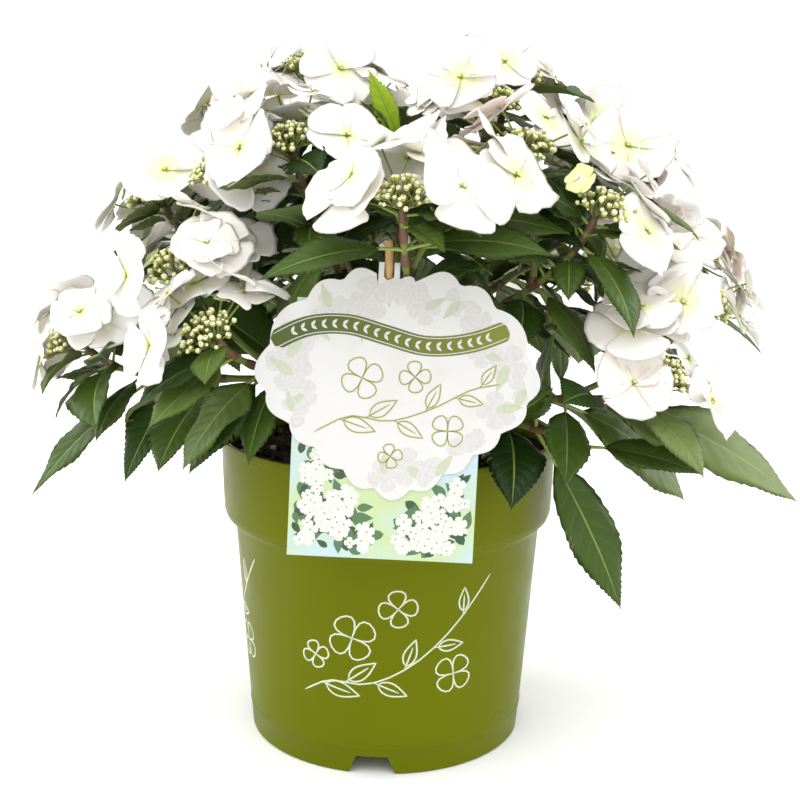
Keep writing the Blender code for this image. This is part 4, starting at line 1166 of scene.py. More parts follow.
def add_twig(heap, twig, shares):
    """A twig with its swollen nodes, browner at each."""
    count = 6 * twig.runs + 1
    path = bezier_path(twig.curve, twig.first, 1, count)
    t = np.linspace(twig.first, 1, count)
    length = bezier_slope(twig.curve, 0.7).length
    near = np.zeros(count)
    for share in shares:
        near = np.maximum(near, np.exp(-(((t - share) * length / NODE_REACH) ** 2)))
    radii = np.linspace(*twig.radii, count) * (0.94 + NODE_SWELL * near)
    looks = np.where(near > 0.35, NODE_BROWN, STEM)
    heap.add_tube(path, radii, 8, STEM, looks)


def add_petiole(heap, leaf):
    """A leaf's stalk, which runs a little way under its blade."""
    shares = np.linspace(0, leaf.stalk * 1.15, 6)
    path = [leaf_at(leaf, share)[0] - leaf_at(leaf, share)[2] * 0.5 * MM for share in shares]
    radii = np.linspace(*PETIOLE_RADII, 6)
    radii[0] *= 1.3
    heap.add_tube(path, radii * min(1, 0.5 + leaf.length / (160 * MM)), 6, STALK)


def add_pedicel(heap, floret, axis):
    """A showy floret's thin stalk, from its twig up into its middle."""
    start, end = floret.root, floret.centre
    reach = 0.4 * (end - start).length
    way = ((end - start).normalized() + axis * 0.5).normalized()
    ends = (start, start + way * reach, end - floret.normal * reach * 0.7, end)
    heap.add_tube(bezier_path(ends, 0, 1, 8), np.linspace(*PEDICEL_RADII, 8), 5, STALK)


def add_bud(heap, centre, axis, radius, look):
    """A round closed bud, with its paler tip a little dished where it will open."""
    path = centre + axis * (BUD_RINGS * radius)[:, None]
    radii = radius * np.sqrt(1 - BUD_RINGS**2)
    path = np.concatenate([path, path[-1:] - axis * radius * BUD_DISH])
    tints = np.r_[np.full(len(BUD_RINGS) - 2, look), BUD_TIP, look]
    heap.add_tube(path, np.r_[radii, radii[-1] * 0.5], BUD_SIDES, look, tints)


def add_cyme(stems, buds, head, dice, settings):
    """The middle of a head: rays that branch from its stem, each end with a round bud."""
    first, second = (np.array(way) for way in head_frame(head))
    axis = np.array(head.axis)
    place_at = np.array(head.place) + around(first, second, open_turn(head)) * CYME_SHIFT
    root = np.array(head.place) - axis * CYME_ROOT
    rays = []
    for i in range(BUD_RAYS):
        turn = 2 * pi * i / BUD_RAYS + dice.uniform(-0.2, 0.2)
        out = (0.0 if i == 0 else RAY_REACH) * settings.cyme_radius * dice.uniform(0.8, 1.1)
        way = around(first, second, turn)
        end = place_at + way * out - axis * 1.5 * MM
        bow = (root + end) / 2 + (way * out * 0.1)
        stems.add_tube([root, bow, end], RAY_RADII, 5, BUD_STALK)
        rays.append(end)
    for i in range(settings.bud_count):
        share = sqrt((i + 0.5) / settings.bud_count)
        turn = BUD_TURN * i + dice.uniform(-0.25, 0.25)
        way = around(first, second, turn)
        out = settings.cyme_radius * share * dice.uniform(0.9, 1.08)
        rise = settings.cyme_rise * (1 - share**2) + dice.uniform(-BUD_STRAY, BUD_STRAY) * MM
        centre = place_at + way * out + axis * rise
        if not in_reach(centre):
            continue
        start = min(rays, key=lambda ray: np.linalg.norm(ray - centre))
        stems.add_tube([start, (start + centre) / 2, centre], BUD_STALK_RADII, 4, BUD_STALK)
        radius = settings.bud_radius * dice.uniform(*BUD_SIZES)
        lean = unit(axis + way * 0.8 * share)
        add_bud(buds, centre, lean, radius, dice.choice((0, 0, 1, 2, 2)))


def add_eye(buds, floret, dice, settings):
    """The small round eye in the middle of a showy floret."""
    normal = np.array(floret.normal)
    centre = np.array(floret.centre) + normal * (FLORET_LAYER + EYE_RISE)
    add_bud(buds, centre, normal, settings.eye_radius * dice.uniform(0.8, 1.2), 0)


# Wood


WOOD_SIDES = 20
BOUGH_SINK = 3 * MM  # how far a bough's foot runs into the trunk
FISSURES = ((5, 0.5, 40), (9, 0.35, 95), (14, 0.25, 210))  # round a stem, share, along a metre


def bark_radii(radii, heights, depth, dice):
    """A stem's radii with long shallow fissures, one row for each height."""
    turns = 2 * np.pi * np.arange(WOOD_SIDES) / WOOD_SIDES
    relief = np.zeros((len(radii), WOOD_SIDES))
    for count, share, along in FISSURES:
        phase = dice.uniform(0, TURN)
        drift = np.sin(along * heights + dice.uniform(0, TURN))[:, None]
        relief += share * np.sin(count * turns + phase + 1.6 * drift)
    return np.asarray(radii)[:, None] * (1 + depth * relief)


def add_trunk(heap, depth, dice):
    """The short stem with its root flare and bark."""
    heights = np.linspace(CLEAR, TRUNK_TAPER[-1][0] * MM, 40)
    path = [trunk_point(height) for height in heights]
    radii = [trunk_radius(height) for height in heights]
    heap.add_tube(path, bark_radii(radii, heights, depth, dice), WOOD_SIDES)


def add_bough(heap, stem, depth, dice):
    """A bough from inside the trunk up to its mass's stem."""
    path = bezier_path(stem.curve, 0, stem.first, 22)
    path[0] -= unit(path[1] - path[0]) * BOUGH_SINK
    heights = np.linspace(0, BOUGH_SHARE, 22) * bezier_slope(stem.curve, 0.2).length
    radii = np.linspace(BOUGH_RADII[0], BOUGH_RADII[1], 22)
    heap.add_tube(path, bark_radii(radii, heights, depth, dice), WOOD_SIDES)


# Container and soil


POT_SIDES = 128
BEAD_HEIGHT = 18 * MM
BEAD_PROUD = 0.35 * MM
BEAD_SHAPE = ((1 * MM, 0), (0.5 * MM, BEAD_PROUD), (-0.5 * MM, BEAD_PROUD), (-1 * MM, 0))
CUTTER_SIDES = 24


def revolved(name, profile, sides):
    """A mesh of revolution about Z, from a profile that starts and ends on the axis."""
    (_, first), *middle, (_, last) = profile
    turns = 2 * np.pi * np.arange(sides) / sides
    ring = np.stack([np.cos(turns), np.sin(turns)], axis=1)
    rows = [np.c_[ring * radius, np.full(sides, height)] for radius, height in middle]
    heap = Heap()
    points = np.concatenate(rows + [np.array([(0, 0, first), (0, 0, last)])])
    wall, start, end = tube_faces(len(middle), sides)
    heap.add(points, *((faces[:, ::-1], 0) for faces in (wall, start, end)))
    return heap.mesh(name)


def less(mesh, cutters):
    """A mesh with the space of its cutters taken away."""
    target = loose(mesh.name, mesh)
    tools = [loose(cutter.name, cutter) for cutter in cutters]
    for tool in tools:
        boolean = target.modifiers.new("cut", "BOOLEAN")
        boolean.operation = "DIFFERENCE"
        boolean.object = tool
    bpy.context.view_layer.update()
    graph = bpy.context.evaluated_depsgraph_get()
    made = bpy.data.meshes.new_from_object(target.evaluated_get(graph))
    for old in (target, *tools):
        bpy.data.objects.remove(old)
    made.shade_smooth()
    made.set_sharp_from_angle(angle=SHARP)
    return made


def channel_mesh(turn):
    """The tapering bar that cuts one drainage channel."""
    far = FOOT_RADIUS + CUT_PAST
    corners = ((CHANNEL_START, -0.5), (CHANNEL_START, 0.5), (far, 0.5), (far, -0.5))
    low = [(x, side * CHANNEL_FOOT, -FOOT_EDGE) for x, side in corners]
    high = [(x, side * CHANNEL_TOP, CHANNEL_HEIGHT) for x, side in corners]
    faces = [(0, 1, 2, 3), (7, 6, 5, 4)]
    faces += [(i, i + 4, (i + 1) % 4 + 4, (i + 1) % 4) for i in range(4)]
    made = bpy.data.meshes.new("channel_cutter")
    made.from_pydata(low + high, [], faces)
    made.transform(turn)
    return made


def pot_mesh():
    """The container: shell, collar, lip, foot bead, and four channels with their drains."""
    outer = [(COLLAR_RADIUS - inwards, COLLAR_BOTTOM - down) for inwards, down in COLLAR_UNDERCUT]
    bead = [
        (FOOT_RADIUS + WALL_SLOPE * (BEAD_HEIGHT + off) + proud, BEAD_HEIGHT + off)
        for off, proud in BEAD_SHAPE
    ]
    turns = [radians(18 * i) for i in range(6)]
    rounds = [(LIP_ROUND * (1 - sin(turn)), LIP_ROUND * (1 - cos(turn))) for turn in turns]
    lip = [(RIM_RADIUS - inwards, POT_HEIGHT - down) for inwards, down in rounds]
    profile = [
        *inner_profile(0),
        *lip,
        (RIM_RADIUS, POT_HEIGHT - LIP_DEPTH),
        (RIM_RADIUS - LIP_STEP, POT_HEIGHT - LIP_DEPTH - LIP_STEP),
        (COLLAR_RADIUS + 0.2 * MM, COLLAR_BOTTOM + 1 * MM),
        (COLLAR_RADIUS, COLLAR_BOTTOM),
        *outer,
        (SHOULDER_RADIUS, SHOULDER_HEIGHT),
        *bead,
        (FOOT_RADIUS, FOOT_EDGE),
        (FOOT_RADIUS - FOOT_EDGE, 0),
        (0, 0),
    ]
    shell = revolved("pot_shell", profile, POT_SIDES)
    cutters = []
    for quarter in range(4):
        turn = Matrix.Rotation(radians(CHANNEL_TURN + 90 * quarter), 4, "Z")
        cutters.append(channel_mesh(turn))
        ends = (0, CHANNEL_HEIGHT - WALL), (DRAIN_RADIUS, CHANNEL_HEIGHT - WALL)
        top = (DRAIN_RADIUS, FLOOR + WALL), (0, FLOOR + WALL)
        drain = revolved("drain_cutter", (*top[::-1], *ends[::-1]), CUTTER_SIDES)
        drain.transform(turn @ Matrix.Translation((DRAIN_REACH, 0, 0)))
        cutters.append(drain)
    return less(shell, cutters)


SOIL_SIDES = 120
SOIL_RINGS = 44
SOIL_WAVES = 26  # sine waves that make up the soil's lumps
LUMP_SIDES = 6
LUMP_REACH = 98 * MM
CRUMB_SIZES = (1.2 * MM, 4.5 * MM)
PERLITE_SIZES = (1.6 * MM, 3.6 * MM)


def soil_height(points, relief):
    """The soil's own height at level points, from many small waves."""
    dice = dice_for("soil")
    height = np.zeros(len(points))
    for i in range(SOIL_WAVES):
        turn = dice.uniform(0, TURN)
        wave = 60 * 1.12**i
        way = np.array((cos(turn), sin(turn))) * wave
        height += np.sin(points @ way + dice.uniform(0, TURN)) * (60 / wave) ** 0.6
    return height * relief / 2.6


def soil_mesh(relief):
    """The root ball: crumbly on top, and turned to the pot's inner face below."""
    wall = inner_profile(CLEAR)
    (low, low_height), (high, high_height) = wall[-2:]
    share = (SOIL_TOP - high_height) / (low_height - high_height)
    edge = high + (low - high) * share
    profile = [(0, SOIL_TOP)]
    profile += [(edge * i / SOIL_RINGS, SOIL_TOP) for i in range(1, SOIL_RINGS + 1)]
    profile += wall[:-1][::-1]
    mesh = revolved("soil", profile, SOIL_SIDES)
    points = np.array([vert.co for vert in mesh.vertices])
    top = points[:, 2] > SOIL_TOP - CLEAR
    reach = np.hypot(points[top, 0], points[top, 1])
    calm = np.clip((edge - reach) / (4 * MM), 0, 1)
    points[top, 2] += soil_height(points[top, :2], relief) * calm - 1 * MM * (1 - calm)
    mesh.vertices.foreach_set("co", points.ravel())
    return mesh


def lump_heap(part, count, sizes, flatness, tones):
    """Small rough grains, half sunk in the soil."""
    dice = dice_for(part)
    heap = Heap()
    for _ in range(count):
        turn, reach = dice.uniform(0, TURN), sqrt(dice.uniform(0.03, 1)) * LUMP_REACH
        level = np.array([(reach * cos(turn), reach * sin(turn))])
        size = dice.uniform(*sizes)
        base = SOIL_TOP + soil_height(level, 2.2 * MM)[0] + size * 0.15
        centre = np.array((level[0, 0], level[0, 1], base))
        axis = unit(np.array([dice.gauss(0, 1) for _ in "xyz"]) * (1, 1, flatness))
        rough = np.array([dice.uniform(0.75, 1.2) for _ in range(LUMP_SIDES * 3)]).reshape(3, -1)
        radii = size * np.array((0.55, 0.8, 0.5))[:, None] * rough
        path = centre + axis * (np.array((-0.6, 0, 0.6)) * size)[:, None]
        heap.add_tube(path, radii, LUMP_SIDES, dice.randrange(tones))
    return heap


# Line drawing

PRINT_STEP = 2.5 * MM  # between a printed line's points, so that it follows the wall


def stepped(path, step):
    """A plane line with points no further apart than a step."""
    path = np.asarray(path, float)
    spans = np.linalg.norm(np.diff(path, axis=0), axis=1)
    made = [path[:1]]
    for start, end, span in zip(path, path[1:], spans):
        shares = np.linspace(0, 1, max(1, ceil(span / step)) + 1)[1:, None]
        made.append(start + (end - start) * shares)
    return np.concatenate(made)


def add_ribbon(heap, path, width, proud, wrap, look=0):
    """A flat raised line along a plane path, laid on a surface by its wrap."""
    path = stepped(path, PRINT_STEP)
    count = len(path)
    ways = unit(np.gradient(path, axis=0))
    left = np.stack([-ways[:, 1], ways[:, 0]], axis=1)
    taper = np.clip(np.minimum(np.arange(count), np.arange(count)[::-1]) * 0.35 + 0.4, 0, 1)
    half = left * (width / 2 * taper)[:, None]
    corners = ((1, 0), (1, proud), (-1, proud), (-1, 0))
    rows = [np.c_[path + half * side, np.full(count, out)] for side, out in corners]
    points = np.stack(rows, axis=1).reshape(-1, 3)
    points = np.concatenate([points, points[:4].mean(0)[None], points[-4:].mean(0)[None]])
    heap.add(wrap(points), *((faces, look) for faces in tube_faces(count, 4)))


def add_plate(heap, outline, proud, wrap, look=0):
    """A flat raised shape inside a plane outline, laid on a surface by its wrap."""
    outline = np.asarray(outline, float)
    x, y = outline.T
    if (x * np.roll(y, -1) - y * np.roll(x, -1)).sum() < 0:
        outline = outline[::-1]
    count = len(outline)
    low, high = (np.c_[outline, np.full(count, rise)] for rise in (0, proud))
    ends = np.array([(*outline.mean(0), rise) for rise in (0, proud)])
    looks = ((faces, look) for faces in tube_faces(2, count))
    heap.add(wrap(np.concatenate([low, high, ends])), *looks)


def heading(turn):
    """The way at a turn in a plane."""
    return np.array((cos(turn), sin(turn)))


def left_of(way):
    """A way in a plane, turned a quarter to the left."""
    return np.array((-way[1], way[0]))


def leaf_outline(root, way, length, breadth, count=9):
    """A pointed leaf in the plane, as one closed line from its root."""
    way = unit(np.asarray(way, float))
    share = np.linspace(0, 1, count)
    wide = breadth * np.sin(np.pi * share**0.8) * (1 - 0.25 * share)
    middle, half = root + way * (length * share)[:, None], left_of(way) * wide[:, None]
    return np.concatenate([middle + half, (middle - half)[-2:0:-1]])


def petal_outline(root, turn, length, breadth, count=11):
    """A round petal in the plane, as one closed line from its claw."""
    way = heading(turn)
    t = np.linspace(-0.96, 0.96, count)
    along = length * np.cos(np.pi * t / 2) ** 1.1
    return root + way * along[:, None] + left_of(way) * (breadth * np.sin(np.pi * t))[:, None]


def blossom(centre, start, *sizes):
    """The outlines of a blossom's four petals."""
    turns = (start + pi / 2 * quarter for quarter in range(4))
    return [petal_outline(centre, turn, *sizes) for turn in turns]


def closed(outline):
    """A line that ends where it starts."""
    return np.concatenate([outline, outline[:1]])


def sprig_lines(points, size, blossoms, shift=(0, 0)):
    """A leafy sprig as plane lines, its points in mm: stem, leaves and four-petalled blossoms."""
    stem = bowed(np.array(points) * MM, SPRIG_STEPS) + shift
    lines = [stem]
    for number, i in enumerate(range(2, SPRIG_STEPS - 1, 2)):
        way = unit(stem[i + 1] - stem[i - 1])
        lean = unit(way * 0.9 + left_of(way) * (1 if number % 2 else -1) * 0.75)
        length = size * (1.15 - 0.5 * i / SPRIG_STEPS)
        outline = leaf_outline(stem[i] + lean * size * 0.12, lean, length, length * 0.24)
        lines.append(closed(outline))
        lines.append(np.stack([stem[i] + lean * length * share for share in (0.0, 0.3, 0.6, 0.85)]))
    for x, y, radius, turn in np.array(blossoms):
        radius = radius * MM
        centre = np.array((x, y)) * MM + shift
        lines += map(closed, blossom(centre, turn, radius, radius * 0.45))
    return lines


def bowed(points, count):
    """A smooth plane line through a few points."""
    points = np.asarray(points, float)
    padded = np.concatenate([2 * points[:1] - points[1:2], points, 2 * points[-1:] - points[-2:-1]])
    made = []
    for value in np.linspace(0, len(points) - 1 - 1e-9, count):
        i = int(value)
        t = value - i
        a, b, c, d = padded[i : i + 4]
        curve = (2 * a - 5 * b + 4 * c - d) * t**2 + (3 * b - a - 3 * c + d) * t**3
        made.append((2 * b + (c - a) * t + curve) / 2)
    return np.array(made)


SPRIG_STEPS = 15  # points of a sprig's stem
PRINT_STEM = ((-52, 52), (-34, 62), (-10, 62), (16, 74), (42, 96), (70, 128))  # mm, across and up
PRINT_BLOSSOMS = ((-20, 92, 15, 0.5), (8, 112, 12, 0.1), (44, 66, 13, 0.9), (-44, 78, 9, 0.3))
PRINT_LEAF = 21 * MM
PRINT_LINE = 1.1 * MM
PRINT_PROUD = 0.12 * MM
PRINT_TURNS = (-97, 0, 131)  # degrees round the pot from its front


def on_wall(turn):
    """A wrap that lays plane points on the pot's wall, turned round it by degrees."""

    def wrap(points):
        radius = FOOT_RADIUS + WALL_SLOPE * (points[:, 1] - FOOT_EDGE)
        angle = radians(turn - 90) + points[:, 0] / radius
        out = radius + points[:, 2] - 0.02 * MM
        return np.stack([out * np.cos(angle), out * np.sin(angle), points[:, 1]], axis=1)

    return wrap


def print_heap():
    """The pot's printed sprig, three times round the wall."""
    heap = Heap()
    for turn in PRINT_TURNS:
        for line in sprig_lines(PRINT_STEM, PRINT_LEAF, PRINT_BLOSSOMS):
            add_ribbon(heap, line, PRINT_LINE, PRINT_PROUD, on_wall(turn))
    return heap


# Label


BOARD, BAND, BAND_PALE, SPRIG, MIST, MIST_LEAF = range(6)
BOARD_STEPS = 10  # points for each lobe of its edge
BAND_ACROSS = (-82, -64, -44, -22, 0, 22, 44, 64, 92)  # mm on the label
BAND_UP = (-52, -38, -28, -26, -31, -36, -34, -27, -12)
BAND_WIDTH = 11.5 * MM
BAND_INSET = 0.5 * MM
BAND_STEPS = 90
BAND_EDGE = 1.2 * MM  # from the band's edge to its pale line
BAND_LINE = 0.5 * MM
CHEVRON = (4.0 * MM, 1.0 * MM)  # length and half breadth of the leaves along the band
CHEVRON_STEP = 3  # points of the band from one to the next
CHEVRON_START = 6
RELIEF = 0.12 * MM
MIST_RELIEF = 0.02 * MM
PLATE_STEP = 0.0006 * MM  # from one printed plate to the next
MIST_COUNT = 30  # faint blossoms near the board's edge
MIST_RADII = (8, 13)  # mm
MIST_REACH = (0.66, 0.96)  # of the board's half sizes
BOARD_STEM = ((-46, -30), (-26, -20), (-4, -22), (20, -14), (42, -2), (58, 2))
BOARD_LEAF = 18 * MM
BOARD_LINE = 0.8 * MM
BOARD_BLOSSOMS = ((-20, 2, 12, 0.4), (10, 4, 9, 0.1), (30, -26, 10, 0.8), (-2, -42, 7, 0.2))


@functools.cache
def board_edge():
    """The board's scalloped oval, from one side of the tab to the other."""
    edge = []
    for i in range(BOARD_LOBES * BOARD_STEPS + 1):
        share = i / (BOARD_LOBES * BOARD_STEPS)
        turn = pi / 2 - BOARD_OPEN - 2 * (pi - BOARD_OPEN) * share
        lobe = BOARD_LOBES * share + BOARD_STRAY * sin(6 * pi * share)
        wave = BOARD_WAVE * (abs(sin(pi * lobe)) * 2 - 1)
        narrow = 1 - BOARD_NARROW * max(0, -sin(turn)) ** BOARD_TAPER
        x = BOARD_MIDDLE[0] + (BOARD_HALF[0] + wave) * narrow * cos(turn)
        edge.append((x, BOARD_MIDDLE[1] + (BOARD_HALF[1] + wave) * sin(turn)))
    return edge


def on_label(points):
    """A wrap that lays plane points on the board's printed face."""
    return placed(points, label_place())


def board_outline():
    """The board's outline: its edge, then the tab with its notch."""
    notch = STICK_RADIUS + CLEAR
    turns = [pi * (1 + i / 16) for i in range(17)]
    outline = [*board_edge(), (-TAB_HALF, -TAB_CUT), (-TAB_HALF, TAB_TOP), (-notch, TAB_TOP)]
    outline += [(notch * cos(turn), notch * (1 + sin(turn))) for turn in turns]
    outline += [(notch, TAB_TOP), (TAB_HALF, TAB_TOP), (TAB_HALF, -TAB_CUT)]
    return np.array(outline)


def on_board(points, inset):
    """Which points of the label's plane lie on the board, inside its edge by an inset."""
    shrink = 1 - inset / np.array(BOARD_HALF)
    edge = (np.array(board_edge()) - BOARD_MIDDLE) * shrink + BOARD_MIDDLE
    after = np.roll(edge, -1, axis=0)
    points = np.asarray(points, dtype=float)[:, None]
    split = (edge[:, 1] > points[..., 1]) != (after[:, 1] > points[..., 1])
    rise = np.where(after[:, 1] == edge[:, 1], 1, after[:, 1] - edge[:, 1])
    cross = edge[:, 0] + (points[..., 1] - edge[:, 1]) / rise * (after[:, 0] - edge[:, 0])
    return (split & (points[..., 0] < cross)).sum(axis=1) % 2 == 1


def band_line(lift):
    """The wavy band's middle line, raised by a lift, as far as it stays on the board."""
    points = bowed(np.c_[BAND_ACROSS, BAND_UP] * MM, BAND_STEPS)
    half = np.array((0, BAND_WIDTH / 2))
    kept = on_board(points + half, BAND_INSET) & on_board(points - half, BAND_INSET)
    return points[kept] + (0, lift)


def add_slab(heap, outline, thick, wrap, look=0):
    """A flat board inside a clockwise outline, its printed face at the front."""
    count = len(outline)
    back = np.c_[outline, np.full(count, -thick)]
    front = np.c_[outline, np.zeros(count)]
    wall = grid_faces(np.stack([np.r_[0:count, 0], np.r_[count : 2 * count, count]]))
    faces = (np.arange(count)[None], np.arange(count, 2 * count)[None, ::-1], wall)
    heap.add(wrap(np.concatenate([back, front])), *((rows, look) for rows in faces))


def add_mist(heap, dice):
    """Faint blossoms and bits of leaf, printed near the board's edge."""
    for number in range(MIST_COUNT):
        turn = 2 * pi * (number + dice.uniform(-0.3, 0.3)) / MIST_COUNT
        reach = dice.uniform(*MIST_REACH)
        x = BOARD_MIDDLE[0] + BOARD_HALF[0] * reach * cos(turn)
        y = BOARD_MIDDLE[1] + BOARD_HALF[1] * reach * sin(turn)
        centre = np.array((x, y))
        radius = dice.uniform(*MIST_RADII) * MM
        start = dice.uniform(0, 1.5)
        shapes = [(petal, MIST) for petal in blossom(centre, start, radius, radius * 0.48)]
        leaf = leaf_outline(centre, heading(start * 4), radius * 1.5, radius * 0.3)
        for layer, (outline, look) in enumerate((*shapes, (leaf, MIST_LEAF))):
            rise = MIST_RELIEF + PLATE_STEP * (number * (len(shapes) + 1) + layer)
            if on_board(outline, BAND_INSET).all():
                add_plate(heap, outline, rise, on_label, look)


def board_heap():
    """The label's board: its plate, the wavy band across it and a sprig under that."""
    heap = Heap()
    add_slab(heap, board_outline(), BOARD_THICK, on_label, BOARD)
    add_mist(heap, dice_for("mist"))
    add_ribbon(heap, band_line(0), BAND_WIDTH, RELIEF, on_label, BAND)
    for lift in (-BAND_WIDTH / 2 + BAND_EDGE, BAND_WIDTH / 2 - BAND_EDGE):
        add_ribbon(heap, band_line(lift), BAND_LINE, 2 * RELIEF, on_label, BAND_PALE)
    middle = band_line(0)
    for number in range(CHEVRON_START, len(middle) - CHEVRON_START, CHEVRON_STEP):
        way = unit(middle[number + 1] - middle[number])
        for side in (1, -1):
            lean = unit(way + left_of(way) * side * 0.9)
            outline = leaf_outline(middle[number], lean, *CHEVRON, 7)
            add_plate(heap, outline, 2 * RELIEF, on_label, BAND_PALE)
    for line in sprig_lines(BOARD_STEM, BOARD_LEAF, BOARD_BLOSSOMS, BOARD_MIDDLE):
        add_ribbon(heap, line, BOARD_LINE, RELIEF, on_label, SPRIG)
    return heap


CARD, CARD_LEAF, CARD_DARK, CARD_PETAL, CARD_EYE = range(5)
CARD_EDGE = 1.5 * MM
# Clusters of blossom on the card: mm from its middle, across and up, and reach
CARD_CLUSTERS = (
    (-40, -24, 11), (-27, -38, 13), (-42, -48, 12), (-24, -58, 12), (-9, -66, 7), (-44, -65, 9),
    (15, -63, 9), (27, -50, 11), (42, -38, 9), (44, -56, 11), (31, -66, 9),
)
CARD_FIELD = 210  # leaves behind the blossoms
CARD_LEAVES = (7, 13)  # mm long
CARD_PETALS = (3.2, 5.2)  # and of a petal
CARD_RELIEF = 0.02 * MM
CARD_STEP = 0.0003 * MM  # from one printed plate to the next


def card_heap():
    """The card behind the board: its sheet, and flat leaves and blossoms printed over it."""
    heap = Heap()
    dice = dice_for("card")
    half = np.array(CARD_HALF)

    def on_card(points):
        return placed(points + (*CARD_MIDDLE, -BOARD_THICK - CLEAR), label_place())

    def inside(outline):
        return (np.abs(outline) < half - CARD_EDGE).all()

    def near(x, y, stray):
        return np.array((x + dice.gauss(0, stray), y + dice.gauss(0, stray))) * MM

    corners = half * ((-1, -1), (-1, 1), (1, 1), (1, -1))
    add_slab(heap, corners, CARD_THICK, on_card, CARD)
    for i in range(CARD_FIELD):
        x, y, reach = dice.choice(CARD_CLUSTERS)
        root = near(x, y, reach * 0.8)
        turn = dice.uniform(0, TURN)
        length = dice.uniform(*CARD_LEAVES) * MM
        outline = leaf_outline(root, heading(turn), length, length * 0.28, 7)
        if inside(outline):
            look = dice.choice((CARD_LEAF, CARD_DARK))
            add_plate(heap, outline, CARD_RELIEF + i * CARD_STEP, on_card, look)
    layer = CARD_FIELD
    for x, y, reach in CARD_CLUSTERS:
        for i in range(round(reach * 0.9)):
            centre = near(x, y, reach * 0.5)
            radius = dice.uniform(*CARD_PETALS) * MM
            petals = blossom(centre, dice.uniform(0, 1.5), radius, radius * 0.5, 9)
            if all(map(inside, petals)):
                eye = petal_outline(centre - (0, 0.5 * MM), 1.57, 1.0 * MM, 0.5 * MM, 7)
                shapes = [(petal, CARD_PETAL) for petal in petals] + [(eye, CARD_EYE)]
                for layer, (outline, look) in enumerate(shapes, layer + 1):
                    add_plate(heap, outline, CARD_RELIEF + layer * CARD_STEP, on_card, look)
    return heap


STICK_SIDES = 16
STICK_STEPS = 40
STICK_JOINTS = (0.30, 0.72)  # shares of its length
STICK_SWELL = 0.12 * MM
STICK_EASE = 0.5 * MM


def stick_heap():
    """The cane: round, a little swollen at its joints, with an eased top."""
    share = np.linspace(0, 1, STICK_STEPS)
    path = np.array(STICK_FOOT) + np.array(STICK_TOP - STICK_FOOT) * share[:, None]
    radii = np.full(STICK_STEPS, STICK_RADIUS - STICK_SWELL)
    for joint in STICK_JOINTS:
        radii += STICK_SWELL * np.exp(-(((share - joint) / 0.02) ** 2))
    radii[-1] -= STICK_EASE
    heap = Heap()
    heap.add_tube(path, radii, STICK_SIDES)
    return heap


# Finishes


def node(made, kind, links=(), **values):
    """A node in a material, with its values, fed by the links (input, node, output)."""
    tree = made.node_tree
    new = tree.nodes.new("ShaderNode" + kind)
    for key, value in values.items():
        if hasattr(new, key):
            setattr(new, key, value)
        else:
            new.inputs[key].default_value = value
    for socket, source, output in links:
        tree.links.new(source.outputs[output], new.inputs[socket])
    return new


def feed(made, socket, source, output):
    """Links a node's output to the material's shader."""
    shader = made.node_tree.nodes["Principled BSDF"]
    made.node_tree.links.new(source.outputs[output], shader.inputs[socket])


def grain(made, scale, detail=3.0, stretch=(1, 1, 1), distortion=0.0):
    """Fine noise laid out in metres over the piece, stretched along its axes."""
    where = node(made, "TexCoord")
    mapping = node(made, "Mapping", [("Vector", where, "Object")], Scale=stretch)
    values = {"Scale": scale, "Detail": detail, "Distortion": distortion}
    return node(made, "TexNoise", [("Vector", mapping, "Vector")], **values)


def shade_between(made, source, low, high, spread=(0.3, 0.7)):
    """Lets the colour drift between two shades by a noise."""
    ramp = node(made, "ValToRGB", [("Fac", source, 0)])
    first, last = ramp.color_ramp.elements
    first.position, last.position = spread
    first.color, last.color = (*low, 1), (*high, 1)
    feed(made, "Base Color", ramp, "Color")


def ranged(made, source, output, low, high, ends):
    """A number of a node, between low and high, spread between two ends."""
    values = {"From Min": low, "From Max": high, "To Min": ends[0], "To Max": ends[1]}
    return node(made, "MapRange", [("Value", source, output)], **values)


def surface(name, colour, roughness, shades=(), gloss=(), relief=(), **sockets):
    """A material, with other sockets of its shader by name, and with noises that drive it.

    The shades, the gloss and the relief each start with the values of their noise.  Then come
    two shades and their spread, the least and the most roughness, or a strength and a depth.
    """
    made = bpy.data.materials.new(name)
    made.use_nodes = True
    made.diffuse_color = (*colour, 1)
    shader = made.node_tree.nodes["Principled BSDF"]
    for socket, value in {"base_color": (*colour, 1), "roughness": roughness, **sockets}.items():
        shader.inputs[socket.replace("_", " ").title().replace("Ior", "IOR")].default_value = value
    wanted = dict.fromkeys(row[0] for row in (shades, gloss, relief) if row)
    noises = {values: grain(made, *values) for values in wanted}
    if shades:
        shade_between(made, noises[shades[0]], *shades[1:])
    if gloss:
        spread = ranged(made, noises[gloss[0]], 0, 0.3, 0.7, gloss[1:])
        feed(made, "Roughness", spread, "Result")
    if relief:
        values = {"Strength": relief[1], "Distance": relief[2]}
        bump = node(made, "Bump", [("Height", noises[relief[0]], 0)], **values)
        feed(made, "Normal", bump, "Normal")
    return made


def scaled(colour, share):
    """A colour, darker or lighter."""
    return tuple(min(1.0, value * share) for value in colour)


def toward(colour, other, share):
    """A colour mixed with another by a share."""
    return tuple(a + (b - a) * share for a, b in zip(colour, other))


def plant_finish(name, colour, roughness, scale, strength, **sockets):
    """A plain colour with living grain: fine relief and uneven gloss."""
    gloss = ((scale * 0.15,), roughness - 0.07, roughness + 0.09)
    relief = ((scale,), strength, 0.15 * MM)
    return surface(name, colour, roughness, gloss=gloss, relief=relief, **sockets)


def plant_looks(kind, tints, *values, **sockets):
    """A plant's finish for each named tint."""
    return [plant_finish(kind + name, tint, *values, **sockets) for name, tint in tints.items()]


